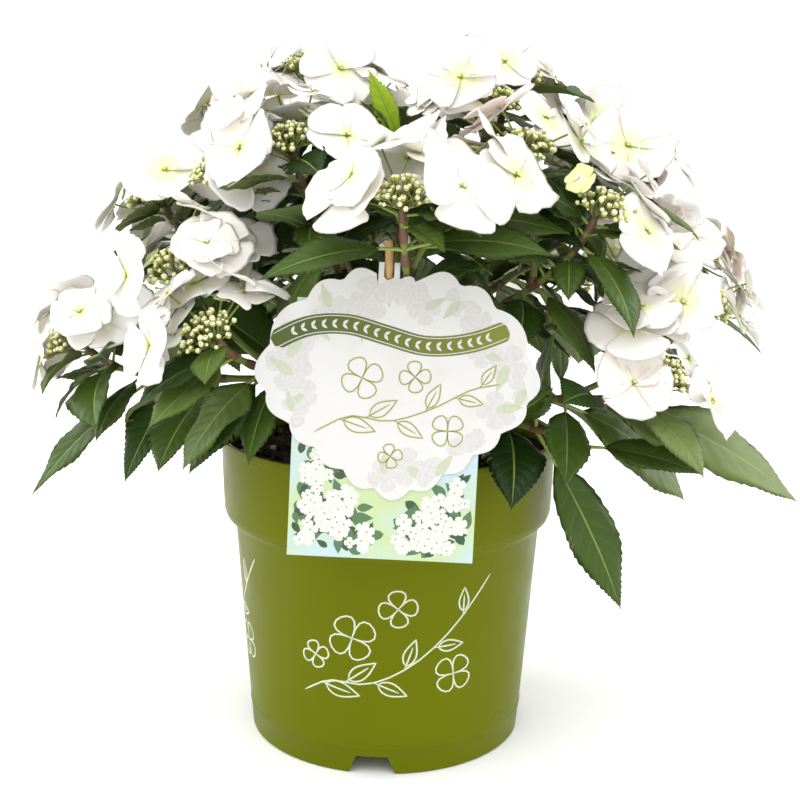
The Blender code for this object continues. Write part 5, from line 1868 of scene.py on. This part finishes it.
def leaf_looks(settings):
    """Six greens, each with its veins, then the rib and the underside."""
    rows = []
    # The first five greens, darkest to palest, hold painted shade and painted sheen over the
    # leaves' own tone; lime is the young leaves' own green
    for name in ("deep", "dark", "middle", "bright", "pale", "lime"):
        green = getattr(settings, name)
        for part, colour in (("blade", green), ("vein", toward(green, settings.rib, 0.2))):
            rows.append((f"{name}_{part}", colour, 0.44, 700, 0.5, 0.2))
    rows.append(("rib", settings.rib, 0.5, 900, 0.3, 0.3))
    rows.append(("under", settings.under, 0.6, 600, 0.5, 0.2))
    made = []
    for name, *values, sheen in rows:
        made.append(plant_finish("leaf_" + name, *values, specular_ior_level=sheen))
    return made


def petal_looks(settings):
    """Four tints of petal, then three of the heart that fade towards white."""
    tints = {name: getattr(settings, name) for name in ("white", "warm", "blush", "green", "heart")}
    tints["heart_soft"] = toward(settings.heart, settings.white, 0.46)
    tints["heart_faint"] = toward(settings.heart, settings.white, 0.78)
    soft = {
        "specular_ior_level": 0.15,
        "subsurface_weight": settings.glow,
        "subsurface_scale": settings.glow_depth,
        "subsurface_radius": (1.0, 1.0, 1.0),
    }
    return plant_looks("petal_", tints, 0.6, 500, 0.2, **soft)


def bud_looks(settings):
    """Three tints of closed bud, then the pale tip."""
    tints = {"green": settings.bud, "cream": settings.pale_bud}
    tints["middle"] = toward(settings.bud, settings.pale_bud, 0.5)
    return plant_looks("bud_", {**tints, "tip": settings.bud_tip}, 0.5, 1500, 0.3)


def stem_looks(settings):
    """Green stem, brown node, leaf stalk and pale bud stalk."""
    tints = {"stem_green": settings.stem, "stem_node": settings.knot}
    tints |= {"leaf_stalk": settings.stalk, "bud_stalk": settings.bud_stalk}
    return plant_looks("", tints, 0.5, 900, 0.5)


def bark_look(settings):
    """Grey-brown bark with long pale fissures."""
    fissures = (160, 6.0, (1, 1, 0.22), 0.6)
    shades = (fissures, settings.bark_dark, settings.bark_light, (0.38, 0.62))
    gloss, relief = ((300,), 0.75, 0.95), (fissures, 0.8, 0.5 * MM)
    return surface("bark", settings.bark_light, 0.85, shades, gloss, relief)


def pot_look(settings):
    """Satin moulded plastic with a faint flow pattern and fine moulding texture."""
    shades = ((5, 2.0, (1, 1, 0.25), 0.4), settings.wall_shade, settings.wall)
    gloss, relief = ((45, 4.0), 0.27, 0.40), ((2600, 2.0), 0.10, 0.05 * MM)
    sheen = {"specular_ior_level": 0.06}
    return surface("pot_plastic", settings.wall, 0.34, shades, gloss, relief, **sheen)


def print_look(name, colour):
    """Printing ink: a little uneven in cover and gloss."""
    cover = (500, 4.0)
    shades = (cover, scaled(colour, 0.88), colour)
    return surface(name, colour, 0.45, shades, ((220,), 0.38, 0.55), (cover, 0.2, 0.03 * MM))


def soil_looks(settings):
    """Dark crumb and brown fibre."""
    crumb, light = (420, 8.0), settings.soil_light
    fibre = toward(light, (0.30, 0.17, 0.08), 0.5)
    values = {"relief": (crumb, 1.0, 1.5 * MM), "specular_ior_level": 0.15}
    return [
        surface(name, high, 0.95, (crumb, low, high, (0.40, 0.66)), **values)
        for name, low, high in (("soil", settings.soil_dark, light), ("soil_fibre", light, fibre))
    ]


def perlite_look(settings):
    """Porous white mineral grains."""
    pores = (1400, 5.0)
    shades = (pores, scaled(settings.perlite, 0.72), settings.perlite, (0.35, 0.55))
    return surface("perlite", settings.perlite, 0.9, shades, relief=(pores, 1.0, 0.4 * MM))


def board_looks(settings):
    """Coated board, its band, the band's pale lines, the sprig and the faint blossoms."""
    mist, relief = (45, 2.0), ((1200,), 0.08, 0.05 * MM)
    shades = (mist, settings.board_shade, settings.board, (0.25, 0.5))
    coat = surface("board_coat", settings.board, 0.4, shades, (mist, 0.33, 0.45), relief)
    band = surface("board_band", settings.band_dark, 0.42, relief=((900,), 0.1, 0.05 * MM))
    where = node(band, "TexCoord")
    across = node(band, "SeparateXYZ", [("Vector", where, "Object")])
    spread = ranged(band, across, "X", -BOARD_HALF[0], BOARD_HALF[0], (0, 1))
    shade_between(band, spread, settings.band_dark, settings.band_light, (0.2, 0.9))
    tints = (settings.board, settings.sprig, settings.mist, settings.mist_leaf)
    rows = zip(("band_line", "sprig", "mist", "mist_leaf"), tints)
    return [coat, band, *(print_look("board_" + name, tint) for name, tint in rows)]


def card_looks(settings):
    """Glossy card with a soft pale ground, and the flat colours printed on it."""
    shades = ((22, 2.0), settings.sky, settings.meadow, (0.40, 0.60))
    coat = {"relief": ((700,), 0.05, 0.05 * MM), "coat_weight": 0.3, "coat_roughness": 0.1}
    dark = scaled(settings.card_leaf, 0.45)
    tints = (settings.card_leaf, dark, settings.card_petal, settings.band_light)
    rows = zip(("leaf", "leaf_dark", "petal", "eye"), tints)
    prints = [print_look("card_" + name, tint) for name, tint in rows]
    return [surface("card_gloss", settings.sky, 0.22, shades, **coat), *prints]


def cane_look(settings):
    """Pale cane with long darker fibres."""
    fibre = (1500, 4.0, (1, 1, 0.03))
    shades = (fibre, scaled(settings.cane, 0.72), settings.cane)
    return surface("cane", settings.cane, 0.5, shades, ((200,), 0.42, 0.6), (fibre, 0.4, 0.1 * MM))


# Settings


def prop(kind, name, description, default, **limits):
    """A property of a kind, not below nothing."""
    return kind(name=name, description=description, default=default, **{"min": 0, **limits})


# Properties that hold a length, a share, an angle, a number of things and a linear colour
size_of = functools.partial(prop, FloatProperty, precision=5, unit="LENGTH")
share_of = functools.partial(prop, FloatProperty, max=1, subtype="FACTOR")
angle_of = functools.partial(prop, FloatProperty, max=pi, subtype="ANGLE")
count_of = functools.partial(prop, IntProperty, min=1)
tint_of = functools.partial(prop, FloatVectorProperty, size=3, max=1, subtype="COLOR")


class ContainerSettings(bpy.types.PropertyGroup):
    """Colours and relief of the pot, its print and its soil."""

    wall: tint_of("Wall", "Pot plastic where it is thick", (0.126, 0.148, 0.0004))
    wall_shade: tint_of("Wall shade", "Pot plastic where it flowed last", (0.104, 0.121, 0.0004))
    ink: tint_of("Print", "Ink of the printed sprig", (0.66, 0.69, 0.52))
    soil_dark: tint_of("Soil, dark", "Wet crumbs of soil", (0.010, 0.007, 0.005))
    soil_light: tint_of("Soil, light", "Dry crumbs of soil", (0.060, 0.038, 0.022))
    soil_relief: size_of("Soil relief", "Height of the soil's lumps", 2.2 * MM)
    soil_grains: count_of("Soil grains", "Loose crumbs and fibres on the soil", 420)
    perlite: tint_of("Perlite", "White mineral grains", (0.78, 0.77, 0.73))
    perlite_grains: count_of("Perlite grains", "White grains on the soil", 46)


class WoodSettings(bpy.types.PropertyGroup):
    """Colours and relief of the trunk, the boughs and the stems."""

    bark_dark: tint_of("Bark, dark", "Bottom of the bark's fissures", (0.070, 0.045, 0.022))
    bark_light: tint_of("Bark, light", "Ridges of the bark", (0.24, 0.18, 0.09))
    bark_depth: share_of("Bark relief", "Depth of the fissures, of the radius", 0.07)
    stem: tint_of("Stem", "Green stems", (0.150, 0.190, 0.030))
    knot: tint_of("Node", "Swollen joints of the stems", (0.120, 0.060, 0.025))
    stalk: tint_of("Leaf stalk", "Stalks of leaves and florets", (0.240, 0.310, 0.060))
    bud_stalk: tint_of("Bud stalk", "Branches of the flower heads", (0.200, 0.200, 0.055))


class LeafSettings(bpy.types.PropertyGroup):
    """Thickness, relief and colours of the leaves."""

    leaf_thickness: size_of("Thickness", "Thickness of a blade", 0.45 * MM)
    rib_depth: size_of("Rib", "Depth of the midrib under a blade", 0.9 * MM)
    vein_relief: size_of("Quilting", "Height of a blade between its veins", 0.55 * MM)
    tooth_depth: size_of("Teeth", "Depth of the teeth along the edge", 0.7 * MM)
    leaf_ruffle: share_of("Waves", "Waves of the edge, of the leaf's breadth", 0.16)
    # The greens from the deepest to the palest are partly the leaves' own spread of tone and partly
    # painted light: the darkest are painted shade on leaves inside the plant, the lightest painted
    # sheen on leaves further out
    deep: tint_of("Deep green", "The oldest leaves", (0.010, 0.030, 0.003))
    dark: tint_of("Dark green", "Leaves in the middle of the plant", (0.024, 0.054, 0.006))
    middle: tint_of("Middle green", "Most leaves", (0.046, 0.086, 0.010))
    bright: tint_of("Bright green", "Leaves with much sky", (0.078, 0.126, 0.020))
    pale: tint_of("Pale green", "Leaves at the skirts", (0.135, 0.182, 0.050))
    lime: tint_of("Lime green", "Young leaves", (0.290, 0.440, 0.020))
    rib: tint_of("Ribs", "Midribs", (0.190, 0.250, 0.060))
    under: tint_of("Underside", "Undersides of the leaves", (0.120, 0.160, 0.050))


class BlossomSettings(bpy.types.PropertyGroup):
    """Petals and buds: sizes, numbers and tints."""

    petal_thickness: size_of("Petal", "Thickness of a petal", 0.30 * MM)
    petal_ruffle: share_of("Ruffle", "Waves of a petal's edge, of its length", 0.065)
    petal_ridge: size_of("Ridges", "Height of the fine ridges along a petal", 0.05 * MM)
    scallop: share_of("Scallops", "Deepest scallops of a petal's edge, of its length", 0.09)
    glow: share_of("Glow", "How much light a petal lets through", 0.1)
    glow_depth: size_of("Glow depth", "How far light goes inside a petal", 1 * MM)
    bud_radius: size_of("Bud", "Radius of a closed bud", 1.65 * MM)
    eye_radius: size_of("Eye", "Radius of the eye of a floret", 1.1 * MM)
    bud_count: count_of("Buds", "Closed buds in a flower head", 62)
    cyme_radius: size_of("Head", "Radius of the buds in a flower head", 17.5 * MM)
    cyme_rise: size_of("Head rise", "Height of the buds' dome", 9 * MM)
    white: tint_of("White", "Most petals", (0.85, 0.825, 0.775))
    warm: tint_of("Cream", "Warmer petals", (0.85, 0.81, 0.735))
    blush: tint_of("Blush", "Pinkish petals", (0.84, 0.735, 0.695))
    green: tint_of("Greenish", "Petals that have just opened", (0.70, 0.78, 0.36))
    heart: tint_of("Heart", "Claws of the petals", (0.68, 0.74, 0.26))
    bud: tint_of("Bud green", "Small closed buds", (0.38, 0.42, 0.08))
    pale_bud: tint_of("Bud cream", "Buds about to open", (0.68, 0.66, 0.32))
    bud_tip: tint_of("Bud tip", "Pale tips of the buds", (0.80, 0.78, 0.54))


class LabelSettings(bpy.types.PropertyGroup):
    """Colours of the plant label."""

    board: tint_of("Board", "Coated board", (0.64, 0.635, 0.615))
    board_shade: tint_of("Board texture", "Faint clouds on the board", (0.60, 0.595, 0.57))
    mist: tint_of("Faint blossoms", "Blossoms printed near the edge", (0.60, 0.59, 0.57))
    mist_leaf: tint_of("Faint leaves", "Leaves printed near the edge", (0.50, 0.54, 0.40))
    band_dark: tint_of("Band, dark", "Darker end of the wavy band", (0.060, 0.082, 0.002))
    band_light: tint_of("Band, light", "Lighter end of the band", (0.160, 0.190, 0.006))
    sprig: tint_of("Sprig", "Line drawing under the band", (0.290, 0.320, 0.060))
    sky: tint_of("Card, blue", "Bluer part of the card's ground", (0.44, 0.58, 0.61))
    meadow: tint_of("Card, green", "Greener part of the card's ground", (0.46, 0.57, 0.30))
    card_leaf: tint_of("Card leaves", "Leaves printed on the card", (0.08, 0.17, 0.07))
    card_petal: tint_of("Card blossoms", "Blossoms printed on the card", (0.68, 0.69, 0.64))
    cane: tint_of("Cane", "The stick that holds the label", (0.56, 0.34, 0.12))


class StageSettings(bpy.types.PropertyGroup):
    """Floor, lights and camera."""

    floor_radius: size_of("Floor", "Radius of the pale floor", 60.0)
    floor: tint_of("Floor colour", "The pale floor", (0.95, 0.95, 0.95))
    sky_strength: prop(FloatProperty, "Surround", "Strength of the white surround", 1.25)
    key_power: prop(FloatProperty, "Key light", "Power of the large light in front, overhead", 4.5)
    side_power: prop(FloatProperty, "Side lights", "Power of the tall light on each side", 10.0)
    sun_strength: prop(FloatProperty, "Soft sun", "Strength of the wide light overhead", 0.7)
    sun_spread: angle_of("Sun spread", "Angle that the wide light fills", radians(70))
    focal_length: prop(FloatProperty, "Lens", "Focal length", 62.28, min=1, unit="CAMERA")


SETTINGS = {
    "shrub_container": ContainerSettings,
    "shrub_wood": WoodSettings,
    "shrub_leaves": LeafSettings,
    "shrub_blossom": BlossomSettings,
    "shrub_label": LabelSettings,
    "shrub_stage": StageSettings,
}


# Operators

PIECE_LIMIT = 170_000  # triangles in one piece
LEAF_SKY = 240 * MM  # from the axis, where a leaf has the sky to itself and its green is lightened most as painted sheen
BLUSH_CANES = ("right", "right_high", "back_right")
FOLIAGE = tuple("foliage_" + cane.name for cane in CANES)
BOUGHS = tuple("bough_" + cane.name for cane in CANES if cane.name != LEADER)


class BuildPot(bpy.types.Operator):
    """Build the pot with its collar, lip, channels and drains"""

    bl_idname = "shrub.pot"
    bl_label = "Pot"

    def execute(self, context):
        look = pot_look(context.scene.shrub_container)
        show("pot_shell", pot_mesh(), [look], "pot_plastic", "pot")
        return {"FINISHED"}


class BuildPotPrint(bpy.types.Operator):
    """Lay the printed sprigs on the pot's wall"""

    bl_idname = "shrub.pot_print"
    bl_label = "Pot print"

    def execute(self, context):
        look = print_look("pot_ink", context.scene.shrub_container.ink)
        show("pot_sprigs", print_heap(), [look], "pot_print")
        return {"FINISHED"}


class BuildSoil(bpy.types.Operator):
    """Fill the pot with crumbly soil, loose grains and perlite"""

    bl_idname = "shrub.soil"
    bl_label = "Soil"

    def execute(self, context):
        settings = context.scene.shrub_container
        looks = soil_looks(settings)
        mesh = soil_mesh(settings.soil_relief)
        show("soil", mesh, looks[:1], "potting_soil", "root_ball")
        grains = lump_heap("crumbs", settings.soil_grains, CRUMB_SIZES, 0.5, 2)
        show("soil_grains", grains, looks, "potting_soil")
        grains = lump_heap("perlite", settings.perlite_grains, PERLITE_SIZES, 1.0, 1)
        show("perlite", grains, [perlite_look(settings)], "perlite")
        return {"FINISHED"}


class BuildWood(bpy.types.Operator):
    """Build the trunk and its boughs with the bark's relief"""

    bl_idname = "shrub.wood"
    bl_label = "Trunk and boughs"

    def execute(self, context):
        settings = context.scene.shrub_wood
        dice = dice_for("wood")
        heap = Heap()
        add_trunk(heap, settings.bark_depth, dice)
        for name, growth in whole_plant().items():
            if name != LEADER:
                add_bough(heap, growth.stem, settings.bark_depth, dice)
        show("wood", heap, [bark_look(settings)], "bark", "trunk", *BOUGHS)
        return {"FINISHED"}


class BuildStems(bpy.types.Operator):
    """Build the green stems, leaf stalks and floret stalks"""

    bl_idname = "shrub.stems"
    bl_label = "Stems and stalks"

    def execute(self, context):
        heap = Heap()
        for growth in whole_plant().values():
            add_twig(heap, growth.stem, NODES)
            for side in growth.sides:
                add_twig(heap, side, (0.05, SIDE_NODE))
            for leaf in growth.leaves:
                add_petiole(heap, leaf)
            for floret in growth.florets + growth.young:
                axis = min(growth.heads, key=lambda head: (head.place - floret.centre).length).axis
                add_pedicel(heap, floret, axis)
        show("stems", heap, stem_looks(context.scene.shrub_wood), "stem", *FOLIAGE)
        return {"FINISHED"}


class BuildLeaves(bpy.types.Operator):
    """Build the leaves, with their veins, teeth and ribs"""

    bl_idname = "shrub.leaves"
    bl_label = "Leaves"

    def execute(self, context):
        settings = context.scene.shrub_leaves
        dice = dice_for("leaves")
        heaps = [Heap()]
        for name, growth in whole_plant().items():
            for leaf in growth.leaves:
                add_leaf(roomy(heaps), leaf, leaf_tone(name, leaf, dice), dice, settings)
        show_heaps("leaves", heaps, leaf_looks(settings), "leaf")
        return {"FINISHED"}


def leaf_tone(name, leaf, dice):
    """The number of a leaf's green: lime on the leader, else lighter further out as painted sheen
    and darker inside the plant as painted shade, with a random spread.
    """
    if name == LEADER:
        return LEAF_TONES - 1
    tip = leaf_at(leaf, 1)[0]
    sky = hypot(tip.x, tip.y) / LEAF_SKY * 0.62 + dice.uniform(-0.2, 0.4)
    return int(min(max(sky * (LEAF_TONES - 1), 0), LEAF_TONES - 2))


class BuildBlossom(bpy.types.Operator):
    """Build the showy florets of the flower heads"""

    bl_idname = "shrub.blossom"
    bl_label = "Petals"

    def execute(self, context):
        settings = context.scene.shrub_blossom
        dice = dice_for("petals")
        heaps = [Heap()]
        for name, growth in whole_plant().items():
            weights = (2, 3, 5, 0) if name in BLUSH_CANES else (6, 3, 1, 0)
            for floret in growth.florets + growth.young:
                young = floret in growth.young
                tone = PETAL_TONES - 1 if young else dice.choices(range(PETAL_TONES), weights)[0]
                add_floret(roomy(heaps), floret, tone, dice, settings)
        show_heaps("petals", heaps, petal_looks(settings), "petal")
        return {"FINISHED"}


class BuildBuds(bpy.types.Operator):
    """Build the branched middles of the flower heads and their buds"""

    bl_idname = "shrub.buds"
    bl_label = "Buds"

    def execute(self, context):
        settings = context.scene.shrub_blossom
        dice = dice_for("buds")
        stalks, buds = Heap(), Heap()
        for growth in whole_plant().values():
            for head in growth.heads:
                add_cyme(stalks, buds, head, dice, settings)
            for floret in growth.florets:
                add_eye(buds, floret, dice, settings)
        show("bud_stalks", stalks, stem_looks(context.scene.shrub_wood), "stem")
        show("buds", buds, bud_looks(settings), "bud")
        return {"FINISHED"}


class BuildLabel(bpy.types.Operator):
    """Build the label's board, its card and its cane"""

    bl_idname = "shrub.label"
    bl_label = "Plant label"

    def execute(self, context):
        settings = context.scene.shrub_label
        for name, heap, looks, slot, solid in (
            ("board", board_heap(), board_looks(settings), "board_print", "label_board"),
            ("card", card_heap(), card_looks(settings), "card_print", "label_card"),
            ("stick", stick_heap(), [cane_look(settings)], "cane", "label_stick"),
        ):
            made = show(name, heap, looks, slot, solid)
            made.data.set_sharp_from_angle(angle=SHARP)
        return {"FINISHED"}


CAMERA_PLACE = (0.0072, -0.887, 0.4094)
CAMERA_PITCH = radians(12.04)
CAMERA_ROLL = radians(0.82)
SENSOR = 36
FLOOR_SIDES = 96
SUN_PLACE = (-0.4, -0.5, 2.0)
AIM = Vector((0, 0, 0.25))  # the middle of the shrub, which every lamp faces
FLOOR_DROP = 0.2 * MM
NEAREST = 0.05  # that the camera sees
LIGHTS = (  # name, place, size across and up, setting
    ("key_light", (-0.35, -0.75, 1.5), (1.2, 0.9), "key_power"),
    ("left_light", (-1.4, 0.35, 0.6), (0.6, 1.4), "side_power"),
    ("right_light", (1.4, 0.35, 0.6), (0.6, 1.4), "side_power"),
)


def lit(name, kind, place_at, energy):
    """A lamp in the scene that faces the middle of the shrub, and its data."""
    lamp = bpy.data.lights.new(name, kind)
    lamp.energy = energy
    made = loose(name, lamp)
    made.location = place_at
    made.rotation_euler = (AIM - Vector(place_at)).to_track_quat("-Z", "Y").to_euler()
    return lamp


class BuildStage(bpy.types.Operator):
    """Lay the pale floor, and place the lights and the camera"""

    bl_idname = "shrub.stage"
    bl_label = "Stage"

    def execute(self, context):
        settings = context.scene.shrub_stage
        turns = [2 * pi * i / FLOOR_SIDES for i in range(FLOOR_SIDES)]
        reach = settings.floor_radius
        rim = [(cos(turn) * reach, sin(turn) * reach, 0) for turn in turns]
        mesh = bpy.data.meshes.new("floor")
        mesh.from_pydata(rim, [], [range(FLOOR_SIDES)])
        rough = {"relief": ((300,), 0.05, 0.05 * MM), "specular_ior_level": 0.0}
        paper = surface("floor_paper", settings.floor, 0.9, **rough)
        mesh.materials.append(paper)
        floor = loose("floor", mesh)
        floor.location.z = -FLOOR_DROP
        floor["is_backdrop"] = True
        for name, place_at, (across, high), power in LIGHTS:
            lamp = lit(name, "AREA", place_at, getattr(settings, power))
            lamp.shape = "RECTANGLE"
            lamp.size, lamp.size_y = across, high
        sun = lit("soft_sun", "SUN", SUN_PLACE, settings.sun_strength)
        sun.angle = settings.sun_spread
        world = bpy.data.worlds.new("white_surround")
        world.use_nodes = True
        surround = world.node_tree.nodes["Background"]
        surround.inputs["Color"].default_value = (1, 1, 1, 1)
        surround.inputs["Strength"].default_value = settings.sky_strength
        context.scene.world = world
        context.scene.view_settings.view_transform = "Standard"
        lens = bpy.data.cameras.new("camera")
        lens.lens = settings.focal_length
        lens.sensor_width = SENSOR
        lens.clip_start = NEAREST
        camera = loose("camera", lens)
        tilt = Matrix.Rotation(pi / 2 - CAMERA_PITCH, 4, "X")
        roll = Matrix.Rotation(CAMERA_ROLL, 4, "Z")
        camera.matrix_world = Matrix.Translation(CAMERA_PLACE) @ tilt @ roll
        context.scene.camera = camera
        return {"FINISHED"}


OPERATORS = (
    BuildStage, BuildPot, BuildPotPrint, BuildSoil, BuildWood,
    BuildStems, BuildLeaves, BuildBlossom, BuildBuds, BuildLabel,
)


class ShrubPanel(bpy.types.Panel):
    """The shrub's pieces and their settings."""

    bl_idname = "VIEW3D_PT_shrub"
    bl_label = "Potted shrub"
    bl_space_type = "VIEW_3D"
    bl_region_type = "UI"
    bl_category = "Shrub"

    def draw(self, context):
        for operator in OPERATORS:
            self.layout.operator(operator.bl_idname)
        for key, group in SETTINGS.items():
            box = self.layout.box()
            for name in group.__annotations__:
                box.prop(getattr(context.scene, key), name)


def register():
    """Registers the settings, the operators and the panel."""
    for key, group in SETTINGS.items():
        bpy.utils.register_class(group)
        setattr(bpy.types.Scene, key, PointerProperty(type=group))
    for made in (*OPERATORS, ShrubPanel):
        bpy.utils.register_class(made)


def unregister():
    """Takes away what register added."""
    for made in (ShrubPanel, *reversed(OPERATORS)):
        bpy.utils.unregister_class(made)
    for key, group in SETTINGS.items():
        delattr(bpy.types.Scene, key)
        bpy.utils.unregister_class(group)


def main():
    """Builds every piece."""
    register()
    for operator in OPERATORS:
        family, name = operator.bl_idname.split(".")
        getattr(getattr(bpy.ops, family), name)()
    boxes = {"cad": CAD_BOX, "visual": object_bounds()}
    plain = {key: [list(map(float, corner)) for corner in box] for key, box in boxes.items()}


if __name__ == "__main__":
    main()
